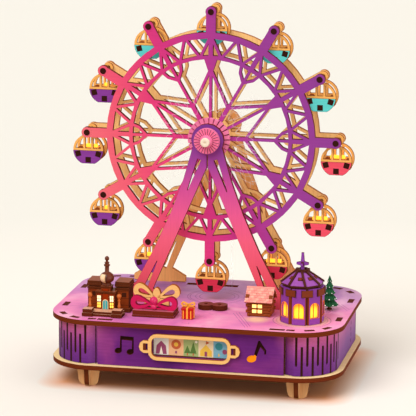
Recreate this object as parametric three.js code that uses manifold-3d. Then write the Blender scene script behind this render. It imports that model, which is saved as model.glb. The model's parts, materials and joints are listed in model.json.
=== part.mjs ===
// Wooden ferris wheel music box.
// Millimetres, +Z up, front towards -Y. The feet stand at z = 0 under the middle of the whole model.
import * as THREE from 'three';
import { mergeVertices } from 'three/addons/utils/BufferGeometryUtils.js';
import Module from 'manifold-3d';

const wasm = await Module();
wasm.setup();

// Stock and clearances
const ply = 3;
const thinPly = 2;
const acrylic = 1;
const gap = 0.3;
const runningGap = 0.3;
const overrun = 1;

// Base box
const baseLength = 180;
const baseDepth = 120;
const baseCornerRadius = 27;
const wallInset = 3.5;
const wallHeight = 24.4;
const footHeight = 12;
const footWidth = 15;
const footTaper = 1.2;
const footRound = 3.6;
const footInsetX = 25.5;
const footInsetY = 12;

// Living hinges at the corners of the base walls
const hingeSlit = 0.9;
const hingeSlitHeight = 18;
const hingeSlits = 11;

// Tabs of the walls in the deck
const tabHeight = 2.7;
const wrapStraight = 5.6;
const panelTab = 9;
const straightTab = 4.4;
const sideTab = 9;
const sideTabInset = 10;
const arcTabAngles = [24, 56];
const arcTabSpan = 15;

// Window in the front panel
const windowInset = 34.2;
const windowHeight = 12;
const windowRound = 3.2;
const windowDrop = 12;
const windowRim = 2.2;
const windowLug = 3;
const windowLugTab = 2.2;
const windowLugTabHeight = 3.6;
const sceneCardMargin = 2;

// Note cut-outs in the front panel
const noteStem = 1.1;
const noteHeight = 10.5;
const noteHeadLong = 2;
const noteHeadShort = 1.5;
const noteGap = 8;
const noteBeam = 2.2;
const noteInset = 16.4;
const noteFlag = 4.2;
const noteHeadTilt = 0.3;

// Wheel
const deckClearance = 5.8;
const axleRadius = 2;
const armCount = 12;
const armWidth = 6;
const armEndRadius = 3.3;
const pinRadius = 1.2;
const rimRadius = 64.9;
const rimWidth = 3.7;
const armReach = 12.6;
const trussDepth = 14.1;
const innerRingWidth = 2.3;
const radialStrut = 2.8;
const trussStrut = 1.7;
const gussetHalf = 4.4;
const gussetTipHalf = 2;
const gussetDepth = 7;
const spoke = 1.7;
const leafDepth = 10.8;
const yokeRadius = 21.7;
const yokeSpoke = 2.6;
const wheelHubRadius = 10;
const wheelFrontY = -0.4;
const wheelSpacing = 16;
const flangeRadius = 13;
const flangeSlits = 24;
const flangeSlit = 0.8;
const flangeSlitDepth = 4.2;
const clearDiscRadius = 40;

// Cabins
const cabinRadius = 9.5;
const cabinDrop = 11.6;
const cabinFlat = 8.6;
const cabinDepth = 12.2;
const cabinPlate = 2;
const cabinEar = 2.9;
const cabinRing = 1.4;
const cabinSill = 0.9;
const cabinBar = 1.3;
const cabinMiddleWindow = 3.6;
const cabinBoard = 2.4;
const cabinFloorWidth = 8.4;
const cabinSideWidth = 6.4;
const cabinSideTilt = 62;

// A-frames
const frameFrontY = -8.5;
const frameRearInset = 10;
const frameRing = 10.1;
const legTopOuter = 9;
const legTopOuterDrop = 4;
const legBendX = 18.5;
const legBendDrop = 44;
const legFootOuter = 44.5;
const legFootInner = 33;
const legFootRise = 12.5;
const crotchDrop = 17.5;
const crotchHalf = 0.7;
const shoeInner = 25;
const shoeOuter = 58.5;
const shoeHeight = 3.6;
const shoeTab = 16;
const slitTop = 12;
const slitLength = 19.5;
const slitWidth = 2.4;

// Hub cap in front of the front A-frame
const capRadius = 7.9;
const domeRadius = 3.9;
const domeHeight = 2.4;
const knobRadius = 2.8;
const knobLength = 1.8;

// Belt drive
const grooveRadius = 5;
const pulleyRadius = 6;
const pulleyWidth = 4;
const bandThickness = 1;
const driveInset = 2.8;
const driveSlotLength = 33;
const driveSlotWidth = 5;
const driveSlotX = -6.8;

// Music movement
const movementAxleRise = 12.2;
const cylinderRadius = 6.5;
const cylinderLength = 22;
const movementMargin = 5.7;
const arborRadius = 1;
const pinionRadius = 4;
const pinionWidth = 2;
const barrelRadius = 9.2;
const barrelGearRadius = 10;
const barrelLength = 12;
const keyArborRadius = 1.5;
const bedplate = 2;
const bedplateLength = 54;
const bedplateMargin = 3;
const cock = 1.5;
const combTeeth = 18;
const combTooth = 9.5;
const combKerf = 0.4;
const combBack = 7;
const combThickness = 1;
const keyReach = 16;
const keyWing = 9;
const keyWingHeight = 7.5;
const keyThickness = 2;

// Palace on the front left of the deck
const palaceInsetX = 34.2;
const palaceInsetY = 24;
const palaceWidth = 24.6;
const palaceDepth = 12;
const wingWidth = 8.3;
const wingHeight = 18.6;
const corniceHeight = 3;
const corniceOut = 0.5;
const hallLap = 2;
const hallHeight = 13.4;
const hallOut = 5.5;
const atticWidth = 6;
const atticHeight = 3;
const drumRadius = 2.7;
const drumHeight = 2.5;
const domeBall = 4.5;
const spireHeight = 6.5;
const spireRadius = 1;
const stepHeight = 2.6;
const stepBlock = 6.4;
const stepBlockHeight = 4.4;
const palaceStepOut = 14.5;
const columnRadius = 0.9;
const columnHeight = 9.5;

// Bow on its plinth
const bowFromPalace = 30.2;
const bowInsetY = 15;
const bowWidth = 25.8;
const bowDepth = 15.4;
const bowPlinth = 3.8;
const bowLoop = 7.3;
const bowLoopWidth = 3.2;
const bowTilt = 0.12;
const bowRoot = 0.5;
const bowStrap = 2;
const bowBackLoop = 8;
const bowBackRise = 8.6;
const bowBackTilt = 0.35;

// Gift box, two-lobed block and tree
const giftFromBow = 21.2;
const giftInsetY = 15.5;
const giftSize = 6.8;
const giftBow = 1.7;
const lobeFromLogHouse = 30.9;
const lobeY = -16;
const lobeRadius = 5;
const lobeHole = 1.2;
const treeInsetX = 14.7;
const treeY = -0.7;
const treeHeight = 21;
const treeRadius = 5.3;
const treeTiers = 4;
const trunkRadius = 1.6;
const trunkHeight = 2.6;

// Log cabin
const logHouseInsetX = 53.5;
const logHouseClearance = 6.3;
const logHouseWidth = 14.2;
const logHouseDepth = 13.5;
const logHeight = 1.9;
const logCount = 5;
const logRound = 0.35;
const logWindow = 2.7;
const logWindowHeight = 1.7;
const logWindowBar = 0.7;
const logRoofRise = 7.6;
const logRoofOut = 1.4;
const logRoofPly = 1.5;

// Lantern tower
const towerInsetX = 26.5;
const towerInsetY = 29.5;
const towerApothem = 12.2;
const towerHeight = 22.5;
const towerSides = 8;
const towerArchWidth = 5.4;
const towerArchHeight = 8.6;
const towerArchSill = 4.2;
const towerCollarDrop = 6.2;
const towerCollarHeight = 4;
const towerCollarOut = 1;
const towerEaveOut = 0.9;
const towerEave = 1;
const towerRoofRise = 7.6;
const towerRoofTop = 2.4;
const finialHeight = 10.4;
const finialWidth = 2.2;
const finialCross = 7.4;
const finialCrossRise = 2.4;
const finialCrossHeight = 2.6;
const finialPly = 1.5;

// Shares of a size, for shapes that are chosen by eye
const slitShares = { ring: 1.22, inset: 2.5, length: 0.72 };
const trussShares = { rim: [0, 0.5, 1], ring: [0.25, 0.75] };
const leafShare = 0.8;
const leafGapShare = 0.45;
const armEndShares = [-0.6, 0, 0.6];
const rimArcShares = [0.25, 0.5, 0.75];
const hubDomeShares = [[0.9, 0.3], [1, 0.6], [1, 1]];
const knobShares = [[0.7, 0], [1, 0.35], [1, 1]];
const keyShares = { place: 0.6, width: 0.75 };
const domeShares = [[0.75, 0.15], [1, 0.65], [0.9, 1.15], [0.45, 1.6]];
const spireShares = [[0.7, 0.1], [1, 0.3], [0.6, 0.45], [0.9, 0.65]];
const columnBallShare = 1.6;
const loopShares = { width: 1.5, waist: 0.55, swell: 0.45, inside: 0.8 };
const bowFootShares = { front: 0.9, back: 0.6 };
const bowKnotShares = [1.3, 1];
const bowDropShares = { width: 0.8, height: 1.5 };
const giftBowShares = { cord: 0.35, lift: 0.9 };
const lobeSpreadShare = 0.85;
const tierWaistShare = 0.45;
const finialShares = { slant: 0.25, tip: 0.6 };

// Levels and places worked out from the sizes above
const bottomPlateZ = footHeight + gap;
const wallZ = bottomPlateZ + ply + gap;
const deckZ = wallZ + wallHeight + gap;
const deckTop = deckZ + ply;
const standZ = deckTop + gap;
const pinCircle = rimRadius + armReach;
const innerRingRadius = rimRadius - trussDepth;
const leafTipRadius = innerRingRadius - leafDepth;
const axleRise = pinCircle + cabinDrop + cabinFlat + deckClearance;
const axleZ = deckTop + axleRise;
const legFootDrop = axleRise - legFootRise;
const wallX = baseLength / 2 - wallInset;
const wallY = baseDepth / 2 - wallInset;
const wallRadius = baseCornerRadius - wallInset;
const cornerX = wallX - wallRadius;
const cornerY = wallY - wallRadius;
const panelHalf = cornerX - wrapStraight;
const sideTabY = cornerY - sideTabInset;
const windowWidth = 2 * (panelHalf - windowInset);
const noteX = panelHalf - noteInset;
const wheelRearY = wheelFrontY + wheelSpacing;
const movementZ = wallZ + movementAxleRise;
const barrelX = barrelGearRadius + pinionRadius + gap;
const frameRearY = wallY - frameRearInset;
const driveY = frameRearY - driveInset;
const pinionY = driveY - pulleyWidth / 2 - movementMargin - barrelLength;
const cylinderFrontY = pinionY - bedplate - cylinderLength;
const hallWidth = palaceWidth - 2 * (wingWidth - hallLap);
const palaceX = palaceInsetX - baseLength / 2;
const palaceFrontY = palaceInsetY - baseDepth / 2;
const bowX = palaceX + bowFromPalace;
const bowFrontY = bowInsetY - baseDepth / 2;
const giftX = bowX + giftFromBow;
const giftFrontY = giftInsetY - baseDepth / 2;
const logHouseX = baseLength / 2 - logHouseInsetX;
const logHouseFrontY = frameFrontY - logHouseClearance - logHouseDepth;
const lobeX = logHouseX - lobeFromLogHouse;
const treeX = baseLength / 2 - treeInsetX;
const towerX = baseLength / 2 - towerInsetX;
const towerY = towerInsetY - baseDepth / 2;

// Finishes
function finish(color, roughness = 0.6, metalness = 0) {
  return new THREE.MeshStandardMaterial({ color, roughness, metalness });
}
const naturalWood = finish(0xf0b060);
const darkWood = finish(0x8f4312);
const purpleWood = finish(0x7c2f86);
const deckPrint = finish(0xe98acb, 0.5);
const legPrint = finish(0xe8589a, 0.5);
const wheelPrint = finish(0xc83a93, 0.5);
const hubPink = finish(0xf46ba0, 0.5);
const creamPaint = finish(0xf6e7d2, 0.4);
const clearPlastic = finish(0xeef4f4, 0.1);
const brass = finish(0xc9a24a, 0.35, 1);
const steel = finish(0xb4b6ba, 0.3, 1);
const rubber = finish(0xe8dcc4, 0.7);
const tealPaint = finish(0x5fc4bd);
const coralPaint = finish(0xff6070);
const cabinPurple = finish(0x8a3a98);
const crimsonPaint = finish(0xe51e5e);
const tanWood = finish(0xedb066);
const giftRed = finish(0xd8182c, 0.4);
const roofPink = finish(0xf7a99b);
const roofPurple = finish(0xb060c8);
const treeGreen = finish(0x1f5b2e, 0.8);

const model = new THREE.Group();

function place(name, geometry, material, parent = model) {
  const mesh = new THREE.Mesh(geometry, material);
  mesh.name = name;
  parent.add(mesh);
  return mesh;
}

// Solids

function toSolid(geometry) {
  const bare = geometry.clone();
  bare.deleteAttribute('normal');
  bare.deleteAttribute('uv');
  const merged = mergeVertices(bare, 1e-4);
  return new wasm.Manifold(new wasm.Mesh({
    numProp: 3,
    vertProperties: new Float32Array(merged.attributes.position.array),
    triVerts: new Uint32Array(merged.index.array),
  }));
}

function toGeometry(solid) {
  const mesh = solid.getMesh();
  const geometry = new THREE.BufferGeometry();
  geometry.setAttribute('position', new THREE.BufferAttribute(mesh.vertProperties, mesh.numProp));
  geometry.setIndex(new THREE.BufferAttribute(mesh.triVerts, 1));
  geometry.computeVertexNormals();
  return geometry;
}

function join(geometries) {
  return geometries.map(toSolid).reduce((all, solid) => all.add(solid));
}

function carve(geometries, cuts) {
  return toGeometry(cuts.map(toSolid).reduce((body, cut) => body.subtract(cut), join(geometries)));
}

function fuse(geometries) {
  return toGeometry(join(geometries));
}

function box(sizeX, sizeY, sizeZ, x, y, z) {
  return new THREE.BoxGeometry(sizeX, sizeY, sizeZ).translate(x, y, z);
}

// A block standing on z, given by its middle in x, its front in y and its three sizes.
function block(sizeX, sizeY, sizeZ, x, frontY, bottomZ) {
  return box(sizeX, sizeY, sizeZ, x, frontY + sizeY / 2, bottomZ + sizeZ / 2);
}

// A lying plate: the outline is drawn in x and y.
function lying(shape, thickness, bottomZ, curveSegments = 4) {
  const geometry = new THREE.ExtrudeGeometry(shape, { depth: thickness, bevelEnabled: false, curveSegments });
  return geometry.translate(0, 0, bottomZ);
}

// A standing plate: the outline is drawn in x and z, and its thickness runs back from frontY.
function standing(shape, thickness, frontY, curveSegments = 4) {
  const geometry = new THREE.ExtrudeGeometry(shape, { depth: thickness, bevelEnabled: false, curveSegments });
  return geometry.rotateX(Math.PI / 2).translate(0, frontY + thickness, 0);
}

// A cylinder along y, from frontY back.
function rod(radius, length, frontY, sides, x = 0, z = 0) {
  const geometry = new THREE.CylinderGeometry(radius, radius, length, sides);
  return geometry.translate(x, frontY + length / 2, z);
}

// A cylinder that stands on z.
function post(radius, height, x, y, bottomZ, sides = 10) {
  const geometry = new THREE.CylinderGeometry(radius, radius, height, sides);
  return geometry.rotateX(Math.PI / 2).translate(x, y, bottomZ + height / 2);
}

// A turned piece whose axis is y: each point is a radius and a distance back from the front.
function turned(profile, sides) {
  return new THREE.LatheGeometry(profile.map(([r, y]) => new THREE.Vector2(r, y)), sides);
}

// A turned piece that stands up: each point is a radius and a height.
function turnedUp(profile, sides) {
  return turned(profile, sides).rotateX(Math.PI / 2);
}

function polygon(points) {
  return new THREE.Shape(points.map(([x, y]) => new THREE.Vector2(x, y)));
}

function circle(radius, x = 0, y = 0) {
  const shape = new THREE.Shape();
  shape.absarc(x, y, radius, 0, 2 * Math.PI, false);
  return shape;
}

function roundedRectangle(width, height, radius, x = 0, y = 0) {
  const shape = new THREE.Shape();
  const cx = width / 2 - radius;
  const cy = height / 2 - radius;
  shape.absarc(x + cx, y - cy, radius, -Math.PI / 2, 0, false);
  shape.absarc(x + cx, y + cy, radius, 0, Math.PI / 2, false);
  shape.absarc(x - cx, y + cy, radius, Math.PI / 2, Math.PI, false);
  shape.absarc(x - cx, y - cy, radius, Math.PI, 1.5 * Math.PI, false);
  return shape;
}

// Points on an arc, both ends included.
function arcPoints(x, y, radius, from, to, steps) {
  return Array.from({ length: steps + 1 }, (_, i) => {
    const angle = from + (to - from) * i / steps;
    return [x + radius * Math.cos(angle), y + radius * Math.sin(angle)];
  });
}

function rectangle(x0, x1, y0, y1) {
  return polygon([[x0, y0], [x1, y0], [x1, y1], [x0, y1]]);
}

// A straight bar between two points of a plate, with a width at each end.
function bar([ax, ay], [bx, by], startWidth, endWidth = startWidth) {
  const length = Math.hypot(bx - ax, by - ay);
  const nx = (by - ay) / length;
  const ny = (ax - bx) / length;
  return polygon([
    [ax + nx * startWidth / 2, ay + ny * startWidth / 2],
    [bx + nx * endWidth / 2, by + ny * endWidth / 2],
    [bx - nx * endWidth / 2, by - ny * endWidth / 2],
    [ax - nx * startWidth / 2, ay - ny * startWidth / 2],
  ]);
}

// A point of the wheel: degrees clockwise from the top, seen from the front.
function clock(radius, degrees) {
  const angle = THREE.MathUtils.degToRad(degrees);
  return [radius * Math.sin(angle), radius * Math.cos(angle)];
}

function mirrored(points) {
  return points.map(([x, y]) => [-x, y]).reverse();
}

// Base

// The stretch of wall between two angles of a corner, as a plan outline.
function cornerArc(middle, span, growth, endGrowth = growth) {
  const half = THREE.MathUtils.degToRad(span / 2) + endGrowth / wallRadius;
  const centre = THREE.MathUtils.degToRad(middle);
  const shape = new THREE.Shape();
  shape.absarc(cornerX, -cornerY, wallRadius + growth, centre - half, centre + half, false);
  shape.absarc(cornerX, -cornerY, wallRadius - ply - growth, centre + half, centre - half, true);
  return shape;
}

// Plan outlines of the tabs in the front right quarter, grown by the clearance for the slots.
function quarterTabs(growth) {
  const outer = wallY + growth;
  const inner = wallY - ply - growth;
  return {
    panel: [rectangle(panelHalf - panelTab - growth, panelHalf - gap + growth, -outer, -inner)],
    wrap: [
      rectangle(cornerX - straightTab - growth, cornerX + growth, -outer, -inner),
      ...arcTabAngles.map((angle) => cornerArc(angle - quarterTurn, arcTabSpan, growth)),
      rectangle(wallX - ply - growth, wallX + growth, -sideTabY - sideTab / 2 - growth,
        -sideTabY + sideTab / 2 + growth),
    ],
  };
}

// Copies a plan outline into the other quarters of the base.
function reflect(shape, signX, signY) {
  const points = shape.getPoints(1).map((p) => new THREE.Vector2(p.x * signX, p.y * signY));
  return new THREE.Shape(signX * signY < 0 ? points.reverse() : points);
}

const quarters = [[1, 1], [-1, 1], [-1, -1], [1, -1]];
const quarterTurn = 90;

function plateOutline() {
  return roundedRectangle(baseLength, baseDepth, baseCornerRadius);
}

function bottomPlate() {
  return lying(plateOutline(), ply, bottomPlateZ, 8);
}

function shoeTabs(growth) {
  const middle = (shoeInner + shoeOuter) / 2;
  const shapes = [];
  for (const frontY of [frameFrontY, frameRearY]) {
    for (const side of [-1, 1]) {
      const half = shoeTab / 2 + growth;
      shapes.push(rectangle(side * middle - half, side * middle + half, frontY - growth, frontY + ply + growth));
    }
  }
  return shapes;
}

function deck() {
  const slots = shoeTabs(gap);
  slots.push(rectangle(driveSlotX - driveSlotLength / 2, driveSlotX + driveSlotLength / 2,
    driveY - driveSlotWidth / 2, driveY + driveSlotWidth / 2));
  const tabs = quarterTabs(gap);
  for (const [signX, signY] of quarters) {
    slots.push(...[...tabs.panel, ...tabs.wrap].map((tab) => reflect(tab, signX, signY)));
  }
  const cuts = slots.map((slot) => lying(slot, ply + 2 * overrun, deckZ - overrun));
  return carve([lying(plateOutline(), ply, deckZ, 8)], cuts);
}

function wrapOutline() {
  const shape = new THREE.Shape();
  shape.moveTo(panelHalf + gap, -wallY);
  shape.absarc(cornerX, -cornerY, wallRadius, -Math.PI / 2, 0, false);
  shape.absarc(cornerX, cornerY, wallRadius, 0, Math.PI / 2, false);
  shape.lineTo(panelHalf + gap, wallY);
  shape.lineTo(panelHalf + gap, wallY - ply);
  shape.absarc(cornerX, cornerY, wallRadius - ply, Math.PI / 2, 0, true);
  shape.absarc(cornerX, -cornerY, wallRadius - ply, 0, -Math.PI / 2, true);
  shape.lineTo(panelHalf + gap, -wallY + ply);
  return shape;
}

// Slits of one living hinge: every other one is open at the top, the rest at the bottom.
function hingeCuts(signY) {
  const cuts = [];
  for (let i = 0; i < hingeSlits; i += 1) {
    const angle = (i + 0.5) / hingeSlits * Math.PI / 2;
    const height = hingeSlitHeight + overrun;
    const middle = i % 2 === 0 ? wallZ + wallHeight - hingeSlitHeight / 2 : wallZ - overrun + height / 2;
    const slit = new THREE.BoxGeometry(ply + 2 * overrun, hingeSlit, height);
    slit.translate(wallRadius - ply / 2, 0, middle).rotateZ(signY * angle);
    cuts.push(slit.translate(cornerX, signY * cornerY, 0));
  }
  return cuts;
}

// Plan outlines of the gaps between the tabs in the front right quarter.
function quarterNotches() {
  const outer = wallY + overrun;
  const inner = wallY - ply - overrun;
  const [first, second] = arcTabAngles;
  const half = arcTabSpan / 2;
  const notch = (from, to) => cornerArc((from + to) / 2 - quarterTurn, to - from, overrun, 0);
  const side = (from, to) => rectangle(wallX - ply - overrun, wallX + overrun, from, to);
  return [
    rectangle(panelHalf - overrun, cornerX - straightTab, -outer, -inner),
    notch(0, first - half), notch(first + half, second - half), notch(second + half, quarterTurn),
    side(-cornerY - overrun, -sideTabY - sideTab / 2), side(-sideTabY + sideTab / 2, 0),
  ];
}

function endWrap() {
  const cuts = [...hingeCuts(1), ...hingeCuts(-1)];
  for (const signY of [1, -1]) {
    for (const notch of quarterNotches()) {
      cuts.push(lying(reflect(notch, 1, signY), tabHeight + gap + overrun, deckZ - gap));
    }
  }
  return carve([lying(wrapOutline(), wallHeight + gap + tabHeight, wallZ, 8)], cuts);
}

function mirroredX(geometry) {
  const matrix = new THREE.Matrix4().makeScale(-1, 1, 1);
  const copy = geometry.clone().applyMatrix4(matrix);
  const index = copy.index.array;
  for (let i = 0; i < index.length; i += 3) {
    const first = index[i];
    index[i] = index[i + 1];
    index[i + 1] = first;
  }
  copy.computeVertexNormals();
  return copy;
}

function panelBody(signY) {
  const frontY = signY > 0 ? -wallY : wallY - ply;
  const body = [block(2 * (panelHalf - gap), ply, wallHeight, 0, frontY, wallZ)];
  for (const side of [-1, 1]) {
    const tab = reflect(quarterTabs(0).panel[0], side, signY);
    body.push(lying(tab, tabHeight + gap + overrun, deckZ - gap - overrun));
  }
  return body;
}

// The two cut-outs are a beamed pair of notes and a single one with a flag.
function noteCuts() {
  const baseZ = wallZ + wallHeight / 2 - noteHeight / 2;
  const head = (x) => {
    const shape = new THREE.Shape();
    shape.absellipse(x, baseZ, noteHeadLong, noteHeadShort, 0, 2 * Math.PI, false, noteHeadTilt);
    return shape;
  };
  const stem = (x) => rectangle(x, x + noteStem, baseZ, baseZ + noteHeight);
  const stemOffset = noteHeadLong - noteStem;
  const pair = -noteX - noteGap / 2;
  const single = noteX - noteHeadLong * 2;
  const top = baseZ + noteHeight;
  const left = pair + stemOffset;
  const right = left + noteGap;
  const flagX = single + stemOffset;
  const shapes = [
    head(pair), head(pair + noteGap), stem(left), stem(right),
    rectangle(left, right + noteStem, top - noteBeam, top),
    head(single), stem(flagX),
    polygon([[flagX, top], [flagX + noteFlag, top - noteFlag], [flagX + noteFlag, top - noteFlag - noteBeam],
      [flagX, top - noteBeam]]),
  ];
  return shapes.map((shape) => standing(shape, ply + 2 * overrun, -wallY - overrun, 3));
}

const windowZ = deckZ + ply - windowDrop - windowRim - gap;

function windowOpening(growth) {
  return roundedRectangle(windowWidth + 2 * growth, windowHeight + 2 * growth, windowRound + growth, 0, windowZ);
}

const lugX = windowWidth / 2 + windowRim + windowLug / 2;

function frontPanel() {
  const cuts = [standing(windowOpening(0), ply + 2 * overrun, -wallY - overrun, 2), ...noteCuts()];
  const lugs = [-1, 1].map((side) => box(windowLugTab, thinPly + ply, windowLugTabHeight, side * lugX,
    -wallY + (ply - thinPly) / 2, windowZ));
  const panel = toSolid(carve(panelBody(1), cuts));
  return toGeometry(lugs.map(toSolid).reduce((body, lug) => body.add(lug), panel));
}

function windowFrame() {
  const frontY = -wallY - gap - thinPly;
  const lugs = [-1, 1].map((side) => standing(circle(windowLug + windowLugTab / 2, side * lugX, windowZ),
    thinPly, frontY, 5));
  const cuts = [-1, 1].map((side) => box(windowLugTab + 2 * gap, thinPly + 2 * overrun,
    windowLugTabHeight + 2 * gap, side * lugX, frontY + thinPly / 2, windowZ));
  cuts.push(standing(windowOpening(0), thinPly + 2 * overrun, frontY - overrun, 2));
  return carve([standing(windowOpening(windowRim), thinPly, frontY, 2), ...lugs], cuts);
}

function windowPane() {
  return standing(windowOpening(-gap), acrylic, -wallY + overrun, 2);
}

function sceneCard() {
  return block(windowWidth + 2 * sceneCardMargin, acrylic, windowHeight + 2 * sceneCardMargin, 0,
    -wallY + ply + gap, windowZ - windowHeight / 2 - sceneCardMargin);
}

// A foot is two crossing boards with tapered sides and round lower corners.
function foot(x, y) {
  const half = footWidth / 2;
  const low = half - footTaper;
  const outline = new THREE.Shape();
  outline.moveTo(-half, footHeight);
  outline.lineTo(-low, footRound);
  outline.quadraticCurveTo(-low + footTaper / 2, 0, -low + footRound, 0);
  outline.lineTo(low - footRound, 0);
  outline.quadraticCurveTo(low - footTaper / 2, 0, low, footRound);
  outline.lineTo(half, footHeight);
  const across = standing(outline, ply, -ply / 2, 3);
  const along = across.clone().rotateZ(Math.PI / 2);
  return fuse([across, along]).translate(x, y, 0);
}

place('bottom_plate', bottomPlate(), naturalWood);
place('top_plate', deck(), deckPrint);
place('front_panel', frontPanel(), purpleWood);
place('back_panel', carve(panelBody(-1), [rod(keyArborRadius + runningGap, ply + 2 * overrun,
  wallY - ply - overrun, 16, barrelX, movementZ)]), purpleWood);
place('right_end_wrap', endWrap(), purpleWood);
place('left_end_wrap', mirroredX(endWrap()), purpleWood);
place('window_frame', windowFrame(), tanWood);
place('window_pane', windowPane(), clearPlastic);
place('scene_card', sceneCard(), creamPaint);

const footX = baseLength / 2 - footInsetX;
const footY = baseDepth / 2 - footInsetY;
place('foot_front_left', foot(-footX, -footY), naturalWood);
place('foot_front_right', foot(footX, -footY), naturalWood);
place('foot_rear_left', foot(-footX, footY), naturalWood);
place('foot_rear_right', foot(footX, footY), naturalWood);

// A-frames, drawn from the axle's centre

function legOutline() {
  const bottom = -axleRise + gap;
  const shape = new THREE.Shape();
  shape.moveTo(0, -legTopOuterDrop);
  shape.lineTo(legTopOuter, -legTopOuterDrop);
  shape.quadraticCurveTo(legBendX, -legBendDrop, legFootOuter, -legFootDrop);
  shape.lineTo(shoeOuter, bottom + shoeHeight);
  shape.lineTo(shoeOuter, bottom);
  shape.lineTo(shoeInner, bottom);
  shape.lineTo(shoeInner, bottom + shoeHeight);
  shape.lineTo(legFootInner + crotchHalf, -legFootDrop - shoeHeight);
  shape.lineTo(crotchHalf, -crotchDrop);
  shape.lineTo(0, -crotchDrop);
  return shape;
}

// A long narrow triangle that follows the leg: it opens towards the ring or towards the shoe.
function legSlit(tipX, tipDrop, openX, openDrop) {
  return bar([tipX, -tipDrop], [openX, -openDrop], crotchHalf / 2, slitWidth);
}

function aFrame(frontY) {
  const right = legOutline();
  const left = new THREE.Shape(mirrored(right.getPoints(4).map((p) => [p.x, p.y])).map(
    ([x, y]) => new THREE.Vector2(x, y)));
  const slits = [];
  for (const side of [-1, 1]) {
    slits.push(legSlit(side * frameRing * slitShares.ring, slitTop + slitLength, side * frameRing / 2,
      slitTop));
    slits.push(legSlit(side * (legFootInner - crotchHalf * slitShares.inset),
      legFootDrop - slitLength * slitShares.length, side * (legFootInner + legFootOuter) / 2,
      legFootDrop + shoeHeight));
  }
  const crotch = rectangle(-crotchHalf / 2, crotchHalf / 2, -crotchDrop - overrun, -frameRing + overrun);
  const through = ply + 2 * overrun;
  const cuts = [...slits, crotch, circle(axleRadius + runningGap)].map(
    (shape) => standing(shape, through, frontY - overrun));
  const tabMiddle = (shoeInner + shoeOuter) / 2;
  const tabs = [-1, 1].map((side) => block(shoeTab, ply, tabHeight + gap + overrun, side * tabMiddle, frontY,
    -axleRise - tabHeight));
  const plates = [standing(circle(frameRing), ply, frontY, 8), standing(right, ply, frontY),
    standing(left, ply, frontY), ...tabs];
  return carve(plates, cuts).translate(0, 0, axleZ);
}

place('front_a_frame', aFrame(frameFrontY), legPrint);
place('rear_a_frame', aFrame(frameRearY), naturalWood);

// Wheel, drawn round the axle in a group that stands at the axle's height

const wheel = new THREE.Group();
wheel.position.z = axleZ;
model.add(wheel);

// An edge of a strut between two points, moved sideways to the right of its direction.
function edge([ax, ay], [bx, by], offset) {
  const length = Math.hypot(bx - ax, by - ay);
  const direction = [(bx - ax) / length, (by - ay) / length];
  return { point: [ax + direction[1] * offset, ay - direction[0] * offset], direction };
}

// Where two edges cross.
function meet(a, b) {
  const cross = a.direction[0] * b.direction[1] - a.direction[1] * b.direction[0];
  const dx = b.point[0] - a.point[0];
  const dy = b.point[1] - a.point[1];
  const along = (dx * b.direction[1] - dy * b.direction[0]) / cross;
  return [a.point[0] + a.direction[0] * along, a.point[1] + a.direction[1] * along];
}

// Where an edge crosses a circle round the axle, on the upper side of the wheel.
function hit({ point, direction }, radius) {
  const along = point[0] * direction[0] + point[1] * direction[1];
  const reach = Math.sqrt(along ** 2 - point[0] ** 2 - point[1] ** 2 + radius ** 2);
  const forward = [-along + reach, -along - reach].map(
    (t) => [point[0] + direction[0] * t, point[1] + direction[1] * t]);
  return forward[0][1] > forward[1][1] ? forward[0] : forward[1];
}

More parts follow.
